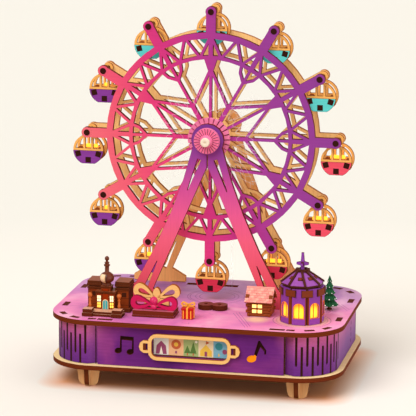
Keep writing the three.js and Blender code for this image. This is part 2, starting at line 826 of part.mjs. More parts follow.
// The windows between an even arm, straight up, and the odd arm on its right: five in the
// truss between rim and inner ring, then the spokes' three.
function sectorWindows() {
  const step = 360 / armCount;
  const half = trussStrut / 2;
  const rim = rimRadius - rimWidth;
  const rimMiddle = rimRadius - rimWidth / 2;
  const ringMiddle = innerRingRadius - innerRingWidth / 2;
  const ringInner = innerRingRadius - innerRingWidth;
  const outer = trussShares.rim.map((share) => clock(rimMiddle, share * step));
  const inner = trussShares.ring.map((share) => clock(ringMiddle, share * step));
  const centre = [0, 0];
  const evenStrut = edge(centre, outer[0], radialStrut / 2);
  const oddStrut = edge(centre, outer[2], -radialStrut / 2);
  const strut = (from, to, side) => edge(from, to, side * half);
  const truss = [
    [meet(evenStrut, strut(outer[0], inner[0], 1)), hit(strut(outer[0], inner[0], 1), innerRingRadius),
      hit(evenStrut, innerRingRadius)],
    [meet(strut(outer[0], inner[0], -1), strut(outer[1], inner[0], 1)), hit(strut(outer[0], inner[0], -1), rim),
      hit(strut(outer[1], inner[0], 1), rim)],
    [meet(strut(outer[1], inner[0], -1), strut(outer[1], inner[1], 1)),
      hit(strut(outer[1], inner[1], 1), innerRingRadius), hit(strut(outer[1], inner[0], -1), innerRingRadius)],
    [meet(strut(outer[1], inner[1], -1), strut(outer[2], inner[1], 1)), hit(strut(outer[1], inner[1], -1), rim),
      hit(strut(outer[2], inner[1], 1), rim)],
    [meet(oddStrut, strut(outer[2], inner[1], -1)), hit(oddStrut, innerRingRadius),
      hit(strut(outer[2], inner[1], -1), innerRingRadius)],
  ];
  const tip = [0, ringMiddle - gussetDepth];
  const yoke = clock(yokeRadius, step);
  const evenSpoke = edge(centre, tip, spoke / 2);
  const gussetSide = edge([gussetHalf, ringMiddle], [gussetTipHalf, tip[1]], 0);
  const branchLeft = edge(tip, yoke, spoke / 2);
  const branchRight = edge(tip, yoke, -spoke / 2);
  const yokeLeft = edge(centre, yoke, -yokeSpoke / 2);
  const oddSpoke = edge(centre, yoke, -spoke / 2);
  const leaf = [inner[1], clock((ringMiddle + leafTipRadius) / 2, leafShare * step), clock(leafTipRadius, step)];
  const spokes = [
    [meet(evenSpoke, branchLeft), meet(branchLeft, yokeLeft), hit(yokeLeft, wheelHubRadius),
      hit(evenSpoke, wheelHubRadius)],
    [hit(gussetSide, ringInner), meet(gussetSide, branchRight), meet(branchRight, oddSpoke),
      meet(oddSpoke, strut(leaf[1], leaf[2], 1)), meet(strut(leaf[0], leaf[1], 1), strut(leaf[1], leaf[2], 1)),
      hit(strut(leaf[0], leaf[1], 1), ringInner), clock(ringInner, step * leafGapShare)],
    [meet(oddSpoke, strut(leaf[1], leaf[2], -1)), hit(oddSpoke, ringInner),
      hit(strut(leaf[0], leaf[1], -1), ringInner), meet(strut(leaf[0], leaf[1], -1), strut(leaf[1], leaf[2], -1))],
  ];
  return [...truss, ...spokes];
}

// Turns a window about the axle, after a mirror cut for the sector on the other side of its arm.
function turnedWindow(points, side, degrees) {
  const angle = THREE.MathUtils.degToRad(degrees);
  return points.map(([x, y]) => [
    side * x * Math.cos(angle) + y * Math.sin(angle),
    y * Math.cos(angle) - side * x * Math.sin(angle),
  ]);
}

// The rim's outline with its arms.
function wheelOutline() {
  const step = 360 / armCount;
  const half = armWidth / 2;
  const shoulder = THREE.MathUtils.radToDeg(Math.asin(half / rimRadius));
  const neck = Math.sqrt(armEndRadius ** 2 - half ** 2);
  const points = [];
  for (let i = 0; i < armCount; i += 1) {
    const arm = [[-half, Math.sqrt(rimRadius ** 2 - half ** 2)], [-half, pinCircle - neck]];
    for (const share of armEndShares) {
      const angle = share * Math.PI / 2;
      arm.push([armEndRadius * Math.sin(angle), pinCircle + armEndRadius * Math.cos(angle)]);
    }
    arm.push([half, pinCircle - neck], [half, Math.sqrt(rimRadius ** 2 - half ** 2)]);
    points.push(...turnedWindow(arm, 1, i * step));
    for (const share of rimArcShares) {
      points.push(clock(rimRadius, i * step + shoulder + share * (step - 2 * shoulder)));
    }
  }
  return polygon(points.reverse());
}

// The wheel's plate: a rim and an inner ring tied by a zigzag truss, an arm at each cabin, and
// spokes that branch in turn from a gusset and from a leaf of two curved ribs.
function wheelPlate(frontY) {
  const step = 360 / armCount;
  const through = (shape, segments) => standing(shape, ply + 2 * overrun, frontY - overrun, segments);
  const cuts = [through(circle(axleRadius + gap), 5)];
  for (let i = 0; i < armCount; i += 1) {
    cuts.push(through(circle(pinRadius + runningGap, ...clock(pinCircle, i * step)), 3));
  }
  for (let i = 0; i < armCount; i += 2) {
    for (const side of [1, -1]) {
      for (const points of sectorWindows()) {
        const window = turnedWindow(points, side, i * step);
        cuts.push(through(polygon(side > 0 ? window.reverse() : window)));
      }
    }
  }
  return carve([standing(wheelOutline(), ply, frontY)], cuts);
}

// A flange is a disc with narrow slits all round its edge.
function flange(frontY) {
  const points = [];
  const slitAngle = THREE.MathUtils.radToDeg(flangeSlit / flangeRadius);
  for (let i = 0; i < flangeSlits; i += 1) {
    const angle = i * 360 / flangeSlits;
    points.push(clock(flangeRadius, angle - slitAngle / 2));
    points.push(clock(flangeRadius - flangeSlitDepth, angle));
    points.push(clock(flangeRadius, angle + slitAngle / 2));
  }
  const outline = polygon(points.reverse());
  outline.holes.push(circle(axleRadius + gap));
  return standing(outline, ply, frontY, 5);
}

function washer(radius, thickness, frontY, segments) {
  const outline = circle(radius);
  outline.holes.push(circle(axleRadius + gap));
  return standing(outline, thickness, frontY, segments);
}

const clearDiscY = wheelFrontY - gap - acrylic;
const flangeFrontY = clearDiscY - gap - ply;
const flangeRearY = wheelRearY + ply + gap;
const capY = frameFrontY - gap - ply;
const domeY = capY - gap - domeHeight;
const pulleyFrontY = driveY - pulleyWidth / 2;
const axleFrontY = domeY + gap;
const axleBackY = frameRearY + ply + runningGap;

function pulley(bore, frontY) {
  const lip = pulleyWidth / 4;
  const profile = [[bore, 0], [pulleyRadius, 0], [pulleyRadius, lip], [grooveRadius, 2 * lip - lip / 2],
    [grooveRadius, 2 * lip + lip / 2], [pulleyRadius, pulleyWidth - lip], [pulleyRadius, pulleyWidth],
    [bore, pulleyWidth], [bore, 0]];
  return turned(profile, 10).translate(0, frontY, 0);
}

// The axle has a head behind the rear A-frame.
function axle() {
  const head = axleRadius * 2;
  return turned([[0, axleFrontY], [axleRadius, axleFrontY], [axleRadius, axleBackY], [head, axleBackY],
    [head, axleBackY + axleRadius], [0, axleBackY + axleRadius]], 12);
}

place('axle', axle(), steel, wheel);
place('front_wheel', wheelPlate(wheelFrontY), wheelPrint, wheel);
place('rear_wheel', wheelPlate(wheelRearY), naturalWood, wheel);
place('hub_spacer', washer(wheelHubRadius / 2, wheelSpacing - ply - 2 * gap, wheelFrontY + ply + gap, 5),
  naturalWood, wheel);
place('clear_disc', washer(clearDiscRadius, acrylic, clearDiscY, 12), clearPlastic, wheel);
place('front_flange', flange(flangeFrontY), hubPink, wheel);
place('rear_flange', flange(flangeRearY), naturalWood, wheel);
place('drive_pulley', pulley(axleRadius + gap, pulleyFrontY), naturalWood, wheel);
place('hub_cap_disc', washer(capRadius, ply, capY, 8), hubPink, wheel);

// Shares of a radius and a length as points of a turned piece.
function scaled(shares, radius, length) {
  return shares.map(([radiusShare, lengthShare]) => [radius * radiusShare, length * lengthShare]);
}

// The dome is a turned ring round the axle's front end, and the knob closes it.
function dome() {
  const bore = axleRadius + gap;
  return turned([[bore, 0], [knobRadius, 0], ...scaled(hubDomeShares, domeRadius, domeHeight),
    [bore, domeHeight], [bore, 0]], 12);
}

function knob() {
  return turned([[0, 0], ...scaled(knobShares, knobRadius, knobLength), [0, knobLength]], 12);
}

place('hub_dome', dome().translate(0, domeY, 0), hubPink, wheel);
place('hub_knob', knob().translate(0, domeY - gap - knobLength, 0), creamPaint, wheel);

// Cabins: each hangs from its own rod, whose ends turn in the arms' holes

const cabinFrontY = wheelFrontY + ply + (wheelSpacing - ply - cabinDepth) / 2;

// The round plate with a flat below and an ear round the hanger above.
function cabinOutline() {
  const flatAngle = Math.acos(cabinFlat / cabinRadius);
  const reach = (cabinDrop ** 2 + cabinRadius ** 2 - cabinEar ** 2) / (2 * cabinDrop);
  const shoulder = Math.acos(reach / cabinRadius);
  const neck = Math.acos((cabinDrop - reach) / cabinEar);
  const right = Math.PI / 2;
  return polygon([
    ...arcPoints(0, -cabinDrop, cabinRadius, -right + flatAngle, right - shoulder, 5),
    ...arcPoints(0, 0, cabinEar, -right + neck, 3 * right - neck, 4).slice(1, -1),
    ...arcPoints(0, -cabinDrop, cabinRadius, right + shoulder, 3 * right - flatAngle, 5),
  ]);
}

function cabinWindows() {
  const inner = cabinRadius - cabinRing;
  const sill = -cabinDrop + cabinSill;
  const barOuter = cabinMiddleWindow / 2 + cabinBar;
  const middle = rectangle(-cabinMiddleWindow / 2, cabinMiddleWindow / 2, sill,
    -cabinDrop + inner - cabinSill);
  const start = Math.asin(cabinSill / inner);
  const end = Math.acos(barOuter / inner);
  const right = new THREE.Shape();
  right.moveTo(barOuter, sill);
  right.absarc(0, -cabinDrop, inner, start, end, false);
  const left = new THREE.Shape();
  left.absarc(0, -cabinDrop, inner, Math.PI - end, Math.PI - start, false);
  left.lineTo(-barOuter, sill);
  return [middle, right, left];
}

function cabin() {
  const outline = cabinOutline();
  const plates = [];
  for (const frontY of [0, cabinDepth - cabinPlate]) {
    plates.push(standing(outline, cabinPlate, frontY));
  }
  const cuts = cabinWindows().map((shape) => standing(shape, cabinDepth + 2 * overrun, -overrun, 1));
  const boardLength = cabinDepth - cabinPlate;
  const floor = block(cabinFloorWidth, boardLength, cabinBoard, 0, cabinPlate / 2,
    -cabinDrop - cabinFlat + cabinPlate / 2);
  const sides = [-1, 1].map((side) => {
    const board = new THREE.BoxGeometry(cabinSideWidth, boardLength, cabinBoard);
    board.translate(0, cabinDepth / 2, -cabinRadius + cabinPlate / 2 + cabinBoard / 2);
    return board.rotateY(-side * THREE.MathUtils.degToRad(cabinSideTilt)).translate(0, 0, -cabinDrop);
  });
  const rodLength = wheelSpacing + ply;
  const hanger = rod(pinRadius, rodLength, wheelFrontY - cabinFrontY, 6);
  const body = cuts.map(toSolid).reduce((all, cut) => all.subtract(cut), join(plates));
  return toGeometry([floor, ...sides, hanger].map(toSolid).reduce((all, solid) => all.add(solid), body));
}

const cabinGeometry = cabin();
const cabinPaints = [tealPaint, tealPaint, tealPaint, coralPaint, coralPaint, coralPaint, coralPaint,
  cabinPurple, cabinPurple, cabinPurple, cabinPurple, tealPaint];
for (let i = 0; i < armCount; i += 1) {
  const [x, z] = clock(pinCircle, i * 360 / armCount);
  const name = `cabin_${String(i + 1).padStart(2, '0')}`;
  place(name, cabinGeometry, cabinPaints[i % cabinPaints.length], wheel).position.set(x, cabinFrontY, z);
}

// Music movement, on a bedplate inside the base

function bedplatePiece() {
  const backY = pinionY + barrelLength + 2 * cock + gap;
  const frontY = cylinderFrontY - bedplateMargin - cock;
  const base = block(bedplateLength, backY - frontY + bedplateMargin, bedplate, 0, frontY - bedplateMargin / 2,
    wallZ);
  const cockPlate = (x, y, width) => block(width, cock, movementAxleRise + width / 2 - overrun, x, y,
    wallZ + overrun);
  const arborCock = 2 * pinionRadius;
  const keyCock = barrelRadius;
  const cylinderBack = pinionY + pinionWidth + gap + overrun;
  const plates = [
    base,
    cockPlate(0, frontY, arborCock),
    cockPlate(-overrun, cylinderBack, arborCock - overrun),
    cockPlate(barrelX, pinionY - gap - overrun - cock, keyCock),
    cockPlate(barrelX, pinionY + barrelLength + gap + overrun, keyCock),
  ];
  const arborBore = rod(arborRadius + runningGap, baseDepth, -baseDepth / 2, 8, 0, movementZ);
  const keyBore = rod(keyArborRadius + runningGap, baseDepth, -baseDepth / 2, 8, barrelX, movementZ);
  return carve(plates, [arborBore, keyBore]);
}

function pinnedCylinder() {
  const backY = pulleyFrontY + pulleyWidth;
  const frontY = cylinderFrontY - bedplateMargin - cock;
  const cylinderBack = cylinderFrontY + cylinderLength;
  return turned([[0, frontY], [arborRadius, frontY], [arborRadius, cylinderFrontY],
    [cylinderRadius, cylinderFrontY], [cylinderRadius, cylinderBack], [arborRadius, cylinderBack],
    [arborRadius, pinionY], [pinionRadius, pinionY], [pinionRadius, pinionY + pinionWidth],
    [arborRadius, pinionY + pinionWidth], [arborRadius, backY], [0, backY]], 12);
}

function springBarrel() {
  const frontY = pinionY - gap - overrun - cock;
  const backY = pinionY + barrelLength;
  return turned([[0, frontY], [keyArborRadius, frontY], [keyArborRadius, pinionY], [barrelGearRadius, pinionY],
    [barrelGearRadius, pinionY + pinionWidth], [barrelRadius, pinionY + pinionWidth], [barrelRadius, backY],
    [0, backY]], 14);
}

// The comb's teeth point at the cylinder's side, at the height of its axis.
function comb() {
  const tipX = -cylinderRadius - 2 * gap - overrun;
  const rootX = tipX - combTooth;
  const backX = rootX - combBack;
  const pitch = (cylinderLength - 2 * overrun) / combTeeth;
  const frontY = cylinderFrontY + overrun;
  const points = [[backX, frontY]];
  for (let i = 0; i < combTeeth; i += 1) {
    const start = frontY + i * pitch + (i ? combKerf / 2 : 0);
    const end = frontY + (i + 1) * pitch - (i < combTeeth - 1 ? combKerf / 2 : 0);
    if (i) {
      points.push([rootX, start]);
    }
    points.push([tipX, start], [tipX, end]);
    if (i < combTeeth - 1) {
      points.push([rootX, end]);
    }
  }
  points.push([backX, frontY + combTeeth * pitch]);
  const plate = lying(polygon(points), combThickness, movementZ - combThickness / 2);
  const standBottom = wallZ + bedplate + gap;
  const stand = block(combBack, combTeeth * pitch, movementZ - standBottom, (backX + rootX) / 2, frontY,
    standBottom);
  return fuse([plate, stand]);
}

function governor() {
  const width = 2 * cylinderRadius;
  const x = -cylinderRadius - width;
  const bottom = wallZ + bedplate + gap;
  const can = block(width, width, cylinderRadius * 2, x, pinionY + pinionWidth, bottom);
  const topPlate = block(width + 2 * overrun, width / 2, bedplate, x, pinionY + pinionWidth + width / 4,
    bottom + cylinderRadius * 2 - overrun);
  return fuse([can, topPlate]);
}

// The key's arbor runs in through the back panel, and its two wings stand behind it.
function windingKey() {
  const arborFront = pinionY + barrelLength + gap;
  const wingY = wallY + overrun;
  const arbor = rod(keyArborRadius, wingY + keyReach / 2 - arborFront, arborFront, 8);
  const wings = [-1, 1].map((side) => {
    const outline = new THREE.Shape();
    outline.absellipse(side * keyWing * keyShares.place, wallY + keyReach / 2 + overrun,
      keyWing * keyShares.width, keyWingHeight, 0, 2 * Math.PI, false, 0);
    return lying(outline, keyThickness, -keyThickness / 2, 5);
  });
  return fuse([arbor, ...wings]).translate(barrelX, 0, movementZ);
}

function driveBand() {
  const inner = grooveRadius + gap;
  const outer = inner + bandThickness;
  const loop = (radius) => {
    const shape = new THREE.Shape();
    shape.absarc(0, axleZ, radius, 0, Math.PI, false);
    shape.absarc(0, movementZ, radius, Math.PI, 2 * Math.PI, false);
    return shape;
  };
  const outline = loop(outer);
  outline.holes.push(loop(inner));
  return standing(outline, bandThickness, driveY - bandThickness / 2, 4);
}

place('movement_bedplate', bedplatePiece(), brass);
place('pinned_cylinder', pinnedCylinder().translate(0, 0, movementZ), brass);
place('output_pulley', pulley(arborRadius + gap, pulleyFrontY).translate(0, 0, movementZ), naturalWood);
place('spring_barrel', springBarrel().translate(barrelX, 0, movementZ), brass);
place('comb', comb(), steel);
place('governor', governor(), brass);
place('winding_key', windingKey(), steel);
place('drive_band', driveBand(), rubber);

// Palace, a row of blocks with a domed hall between two wings

function palaceWalls() {
  const pieces = [];
  const cornice = (width, depth, x, frontY, topZ) => block(width + 2 * corniceOut, depth + 2 * corniceOut,
    corniceHeight, x, frontY - corniceOut, topZ - corniceHeight);
  for (const side of [-1, 1]) {
    const x = palaceX + side * (palaceWidth - wingWidth) / 2;
    pieces.push(block(wingWidth, palaceDepth, wingHeight - overrun, x, palaceFrontY, standZ));
    pieces.push(cornice(wingWidth, palaceDepth, x, palaceFrontY, standZ + wingHeight));
  }
  const hallY = palaceFrontY - hallOut;
  pieces.push(block(hallWidth, palaceDepth, hallHeight, palaceX, hallY, standZ));
  pieces.push(block(atticWidth, palaceDepth - hallOut, hallHeight + atticHeight, palaceX, hallY + overrun, standZ));
  return fuse(pieces);
}

// An onion dome on a narrow drum, and its spire.
function palaceDome() {
  const raised = (points, base) => points.map(([radius, height]) => [radius, base + height]);
  const spireBase = drumHeight + 2 * domeBall;
  const profile = [[0, 0], [drumRadius, 0], [drumRadius, drumHeight],
    ...raised(scaled(domeShares, domeBall, domeBall), drumHeight),
    ...raised(scaled(spireShares, spireRadius, spireHeight), spireBase),
    [0, spireBase + spireHeight]];
  const middleY = palaceFrontY - hallOut + overrun + (palaceDepth - hallOut) / 2;
  return turnedUp(profile, 10).translate(palaceX, middleY, standZ + hallHeight + atticHeight + gap);
}

function palaceSteps() {
  const frontY = palaceFrontY - palaceStepOut;
  const depth = palaceStepOut - hallOut - gap;
  const pieces = [block(palaceWidth, depth, stepHeight, palaceX, frontY, standZ)];
  for (const side of [-1, 1]) {
    const x = palaceX + side * (palaceWidth - stepBlock) / 2;
    pieces.push(block(stepBlock, stepBlock, stepBlockHeight, x, frontY - overrun, standZ));
    const columnY = frontY + depth - 2 * columnRadius;
    pieces.push(post(columnRadius, columnHeight, x, columnY, standZ + stepHeight - overrun, 6));
    pieces.push(new THREE.OctahedronGeometry(columnRadius * columnBallShare, 1).translate(x, columnY,
      standZ + stepHeight + columnHeight));
  }
  return fuse(pieces);
}

// Bow: each loop is a strap bent into a drop, drawn as a ring that leans out

function bowLoopShape(side, length, width, lean, baseX, baseZ) {
  const at = (radius, growth) => arcPoints(0, 0, 1, 0, 2 * Math.PI, 13).slice(0, -1).map(([u, v]) => {
    const along = length * (1 + u) - growth * Math.sign(u) * Math.abs(u);
    const across = (width * loopShares.width - growth) * v * (loopShares.waist + loopShares.swell * u) * radius;
    const c = Math.cos(lean);
    const t = Math.sin(lean);
    return [side * (baseX + along * c - across * t), baseZ + along * t + across * c];
  });
  return { outer: at(1, 0), inner: at(loopShares.inside, bowStrap) };
}

function bowPair(length, width, lean, baseX, baseZ, thickness, frontY) {
  const solids = [];
  const cuts = [];
  for (const side of [-1, 1]) {
    const { outer, inner } = bowLoopShape(side, length, width, lean, baseX, baseZ);
    solids.push(standing(polygon(side > 0 ? outer : outer.reverse()), thickness, frontY));
    cuts.push(standing(polygon(side > 0 ? inner : inner.reverse()), thickness + 2 * overrun, frontY - overrun));
  }
  return { solids, cuts };
}

function bowPlinthPiece() {
  return block(bowWidth, bowDepth, bowPlinth, bowX, bowFrontY, standZ);
}

function bowFront() {
  const z = bowPlinth + gap;
  const frontY = bowFrontY + ply;
  const { solids, cuts } = bowPair(bowLoop, bowLoopWidth, bowTilt, bowRoot, z + bowLoopWidth + overrun, ply,
    frontY);
  const foot = block(bowWidth * bowFootShares.front, ply, bowStrap, 0, frontY, z);
  const heights = [z + bowLoopWidth * 2, z + bowStrap + bowRoot];
  const knots = bowKnotShares.map((share, i) => new THREE.SphereGeometry(bowStrap * share, 8, 5).translate(0,
    frontY, heights[i] + overrun));
  const loops = toSolid(carve(solids, cuts));
  const all = [foot, ...knots].map(toSolid).reduce((body, piece) => body.add(piece), loops);
  return toGeometry(all).translate(bowX, 0, standZ);
}

function bowBack() {
  const z = bowPlinth + gap;
  const frontY = bowFrontY + bowDepth / 2 + ply;
  const { solids, cuts } = bowPair(bowBackLoop, bowLoopWidth, bowBackTilt, 0, z + bowBackRise - bowLoopWidth, ply,
    frontY);
  const drop = new THREE.Shape();
  drop.absellipse(0, z + bowBackRise, bowLoopWidth * bowDropShares.width, bowLoopWidth * bowDropShares.height,
    0, 2 * Math.PI, false, 0);
  const foot = block(bowWidth * bowFootShares.back, ply, bowBackRise, 0, frontY, z);
  const loops = toSolid(carve(solids, cuts));
  const all = [foot, standing(drop, ply, frontY, 5)].map(toSolid).reduce((body, piece) => body.add(piece), loops);
  return toGeometry(all).translate(bowX, 0, standZ);
}

function giftBox() {
  const middleY = giftFrontY + giftSize / 2;
  const bows = [-1, 1].map((side) => {
    const loop = new THREE.TorusGeometry(giftBow, giftBow * giftBowShares.cord, 4, 8);
    return loop.rotateX(Math.PI / 2).translate(giftX + side * giftBow, middleY,
      standZ + giftSize + giftBow * giftBowShares.lift);
  });
  return fuse([block(giftSize, giftSize, giftSize, giftX, giftFrontY, standZ), ...bows]);
}

function lobedBlock() {
  const shapes = [-1, 1].map((side) => circle(lobeRadius, lobeX + side * lobeRadius * lobeSpreadShare, lobeY));
  const holes = [-1, 1].map((side) => circle(lobeHole, lobeX + side * lobeRadius * lobeSpreadShare, lobeY));
  return carve(shapes.map((shape) => lying(shape, ply, standZ, 7)),
    holes.map((shape) => lying(shape, ply + 2 * overrun, standZ - overrun, 3)));
}

function tree() {
  const tier = (treeHeight - trunkHeight) / treeTiers;
  const profile = [[0, 0], [trunkRadius, 0], [trunkRadius, trunkHeight]];
  for (let i = 0; i < treeTiers; i += 1) {
    const share = 1 - i / treeTiers;
    profile.push([treeRadius * share, trunkHeight + i * tier]);
    if (i < treeTiers - 1) {
      profile.push([treeRadius * share * tierWaistShare, trunkHeight + (i + 1) * tier]);
    }
  }
  profile.push([0, treeHeight]);
  return turnedUp(profile, 10).translate(treeX, treeY, standZ);
}

// Log cabin: courses of logs with rounded edges, and a gable roof of two boards

function logWalls() {
  const courses = Array.from({ length: logCount }, (_, i) => {
    const out = i % 2 ? 0 : logRound;
    return block(logHouseWidth + 2 * out, logHouseDepth - 2 * out, logHeight + (i < logCount - 1 ? gap : 0),
      logHouseX, logHouseFrontY + out, standZ + i * logHeight);
  });
  const top = standZ + logCount * logHeight;
  const gable = polygon([[-logHouseDepth / 2, 0], [logHouseDepth / 2, 0], [0, logRoofRise - 2 * gap]]);
  const gableSolid = new THREE.ExtrudeGeometry(gable, { depth: logHouseWidth, bevelEnabled: false });
  gableSolid.rotateX(Math.PI / 2).rotateZ(Math.PI / 2).translate(logHouseX - logHouseWidth / 2,
    logHouseFrontY + logHouseDepth / 2, top - gap);
  const panes = [];
  for (const side of [-1, 1]) {
    for (const row of [0, 1]) {
      panes.push(block(logWindow, logHouseDepth / 2, logWindowHeight,
        logHouseX - overrun + side * (logWindow + logWindowBar) / 2, logHouseFrontY - overrun,
        standZ + logHeight + logWindowBar + row * (logWindowHeight + logWindowBar * 2)));
    }
  }
  return carve([...courses, gableSolid], panes);
}

function logRoof() {
  const half = logHouseDepth / 2;
  const slope = logRoofRise / half;
  const out = logRoofOut;
  const thick = logRoofPly * Math.hypot(1, slope);
  const outline = polygon([
    [-half - out, -out * slope + gap], [0, logRoofRise + gap], [half + out, -out * slope + gap],
    [half + out, -out * slope + thick], [0, logRoofRise + thick], [-half - out, -out * slope + thick],
  ]);
  const length = logHouseWidth + 2 * out;
  const roof = new THREE.ExtrudeGeometry(outline, { depth: length, bevelEnabled: false });
  return roof.rotateX(Math.PI / 2).rotateZ(Math.PI / 2).translate(logHouseX - length / 2,
    logHouseFrontY + half, standZ + logCount * logHeight);
}

// Lantern tower: eight walls with arched windows, a collar of tabs, and a ribbed roof

function octagon(apothem) {
  const radius = apothem / Math.cos(Math.PI / towerSides);
  return polygon(arcPoints(0, 0, radius, Math.PI / towerSides, 2 * Math.PI + Math.PI / towerSides,
    towerSides).slice(0, -1));
}

function towerWalls() {
  const arch = [[towerArchWidth / 2, 0], ...arcPoints(0, towerArchHeight - towerArchWidth / 2,
    towerArchWidth / 2, 0, Math.PI, 4), [-towerArchWidth / 2, 0]];
  const cuts = [lying(octagon(towerApothem - thinPly), towerHeight, overrun)];
  for (let i = 0; i < towerSides; i += 1) {
    const cut = standing(polygon(arch), thinPly + 2 * overrun, -towerApothem - overrun);
    cuts.push(cut.translate(0, 0, towerArchSill).rotateZ(i * 2 * Math.PI / towerSides));
  }
  const collar = lying(octagon(towerApothem + towerCollarOut), towerCollarHeight, towerHeight - towerCollarDrop);
  return carve([lying(octagon(towerApothem), towerHeight, 0), collar], cuts).translate(towerX, towerY, standZ);
}

function towerRoof() {
  const eave = towerApothem + towerEaveOut;
  const radius = eave / Math.cos(Math.PI / towerSides);
  const skirt = lying(octagon(eave), towerEave, 0);
  const slope = new THREE.CylinderGeometry(towerRoofTop, radius, towerRoofRise, towerSides);
  slope.rotateX(Math.PI / 2).rotateZ(Math.PI / towerSides).translate(0, 0, towerEave + towerRoofRise / 2 - gap);
  return fuse([skirt, slope]).translate(towerX, towerY, standZ + towerHeight + gap);
}

// The finial is two crossing plates, each a tapered spire with a cross piece.
function towerFinial() {
  const half = finialWidth / 2;
  const cross = finialCross / 2;
  const arm = finialCrossRise + finialCrossHeight;
  const slant = finialCrossHeight * finialShares.slant;
  const tip = half * finialShares.tip;
  const outline = polygon([
    [half, 0], [half, finialCrossRise], [cross, finialCrossRise + slant], [cross, arm - slant], [half, arm],
    [tip, finialHeight], [-tip, finialHeight], [-half, arm], [-cross, arm - slant],
    [-cross, finialCrossRise + slant], [-half, finialCrossRise], [-half, 0],
  ]);
  const plate = standing(outline, finialPly, -finialPly / 2);
  const base = standZ + towerHeight + towerEave + towerRoofRise + gap;
  return fuse([plate, plate.clone().rotateZ(Math.PI / 2)]).translate(towerX, towerY, base);
}

place('palace_walls', palaceWalls(), darkWood);
place('palace_dome', palaceDome(), darkWood);
place('palace_steps', palaceSteps(), darkWood);
place('bow_plinth', bowPlinthPiece(), darkWood);
place('bow_front_loops', bowFront(), crimsonPaint);
place('bow_back_loops', bowBack(), tanWood);
place('gift_box', giftBox(), giftRed);
place('lobed_block', lobedBlock(), darkWood);
place('tree', tree(), treeGreen);
place('log_cabin_walls', logWalls(), darkWood);
place('log_cabin_roof', logRoof(), roofPink);
place('tower_walls', towerWalls(), purpleWood);
place('tower_roof', towerRoof(), roofPurple);
place('tower_finial', towerFinial(), purpleWood);

// The pieces above are placed from the middle of the base. The key stands out behind it, so the
// model moves forward by half of that, which puts the origin under the middle of it all.
const extent = new THREE.Box3().setFromObject(model);
model.position.y = -(extent.min.y + extent.max.y) / 2;

export default model;
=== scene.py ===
# Wooden ferris wheel music box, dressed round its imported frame.
import json
import math
import bpy
import bmesh
import numpy as np
from mathutils import Matrix, Vector

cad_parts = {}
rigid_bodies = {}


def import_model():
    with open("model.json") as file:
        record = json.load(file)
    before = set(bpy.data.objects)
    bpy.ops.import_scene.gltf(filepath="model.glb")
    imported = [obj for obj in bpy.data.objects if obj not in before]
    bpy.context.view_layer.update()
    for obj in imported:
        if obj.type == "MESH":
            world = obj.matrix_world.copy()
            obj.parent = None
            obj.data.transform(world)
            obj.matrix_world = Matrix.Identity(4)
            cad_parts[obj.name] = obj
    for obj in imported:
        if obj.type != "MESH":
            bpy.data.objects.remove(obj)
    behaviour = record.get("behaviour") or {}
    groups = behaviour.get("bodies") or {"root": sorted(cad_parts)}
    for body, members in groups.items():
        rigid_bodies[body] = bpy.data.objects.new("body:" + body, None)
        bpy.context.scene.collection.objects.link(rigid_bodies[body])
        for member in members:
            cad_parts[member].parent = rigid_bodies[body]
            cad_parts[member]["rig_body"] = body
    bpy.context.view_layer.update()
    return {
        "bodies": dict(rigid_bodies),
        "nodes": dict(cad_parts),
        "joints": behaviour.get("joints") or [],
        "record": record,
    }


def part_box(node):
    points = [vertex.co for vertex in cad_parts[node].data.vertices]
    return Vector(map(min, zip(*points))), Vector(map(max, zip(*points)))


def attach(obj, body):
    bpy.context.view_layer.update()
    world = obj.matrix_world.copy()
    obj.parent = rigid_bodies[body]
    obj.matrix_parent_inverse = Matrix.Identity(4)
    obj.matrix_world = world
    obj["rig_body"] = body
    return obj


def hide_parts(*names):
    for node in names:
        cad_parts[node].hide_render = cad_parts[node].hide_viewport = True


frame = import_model()

mm = 0.001               # shapes are worked out in millimetres, the camera and the materials in metres
nodes = frame["nodes"]


def low(node):
    return np.array([float(v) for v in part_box(node)[0]]) / mm


def high(node):
    return np.array([float(v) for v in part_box(node)[1]]) / mm


def middle(node):
    return (low(node) + high(node)) / 2


deckTop = high("top_plate")[2]
hubZ = middle("front_wheel")[2]
baseY = middle("top_plate")[1]
towerCentre = middle("tower_walls")[:2]
cornerRadius = 23.5      # of the walls' outer faces, round the middles of the right corners
cornerMiddle = high("right_end_wrap")[:2] - [cornerRadius, cornerRadius + baseY]


# Camera, floor and light

cameraView = {"azimuth": 11.664, "elevation": 12.415, "distance": 1.683, "target": (-0.0011, -0.0063, 0.1029),
              "lens": 237.3, "roll": 0.351}


def linkNew(name, data):
    # a new object in the scene, at the origin and unturned
    item = bpy.data.objects.new(name, data)
    bpy.context.scene.collection.objects.link(item)
    return item


def placeCamera(view):
    azimuth, elevation = math.radians(view["azimuth"]), math.radians(view["elevation"])
    away = Vector((math.sin(azimuth) * math.cos(elevation), -math.cos(azimuth) * math.cos(elevation),
                   math.sin(elevation)))
    camera = linkNew("photoCamera", bpy.data.cameras.new("photoCamera"))
    camera.data.lens = view["lens"]
    camera.data.clip_end = 100
    camera.location = Vector(view["target"]) + away * view["distance"]
    turn = (-away).to_track_quat("-Z", "Y").to_matrix().to_4x4()
    camera.rotation_euler = (turn @ Matrix.Rotation(math.radians(view["roll"]), 4, "Z")).to_euler()
    bpy.context.scene.camera = camera


placeCamera(cameraView)


def linear(hexColour):
    # an sRGB hex colour as linear red, green, blue and alpha
    channels = [int(hexColour[i:i + 2], 16) / 255 for i in (1, 3, 5)]
    return tuple(c / 12.92 if c <= 0.04045 else ((c + 0.055) / 1.055) ** 2.4 for c in channels) + (1.0,)


def fillInputs(tree, sockets, values):
    # links or sets a node's inputs; a text is a hex colour
    for key, value in values.items():
        if isinstance(value, bpy.types.NodeSocket):
            tree.links.new(value, sockets[key])
        else:
            sockets[key].default_value = linear(value) if isinstance(value, str) else value


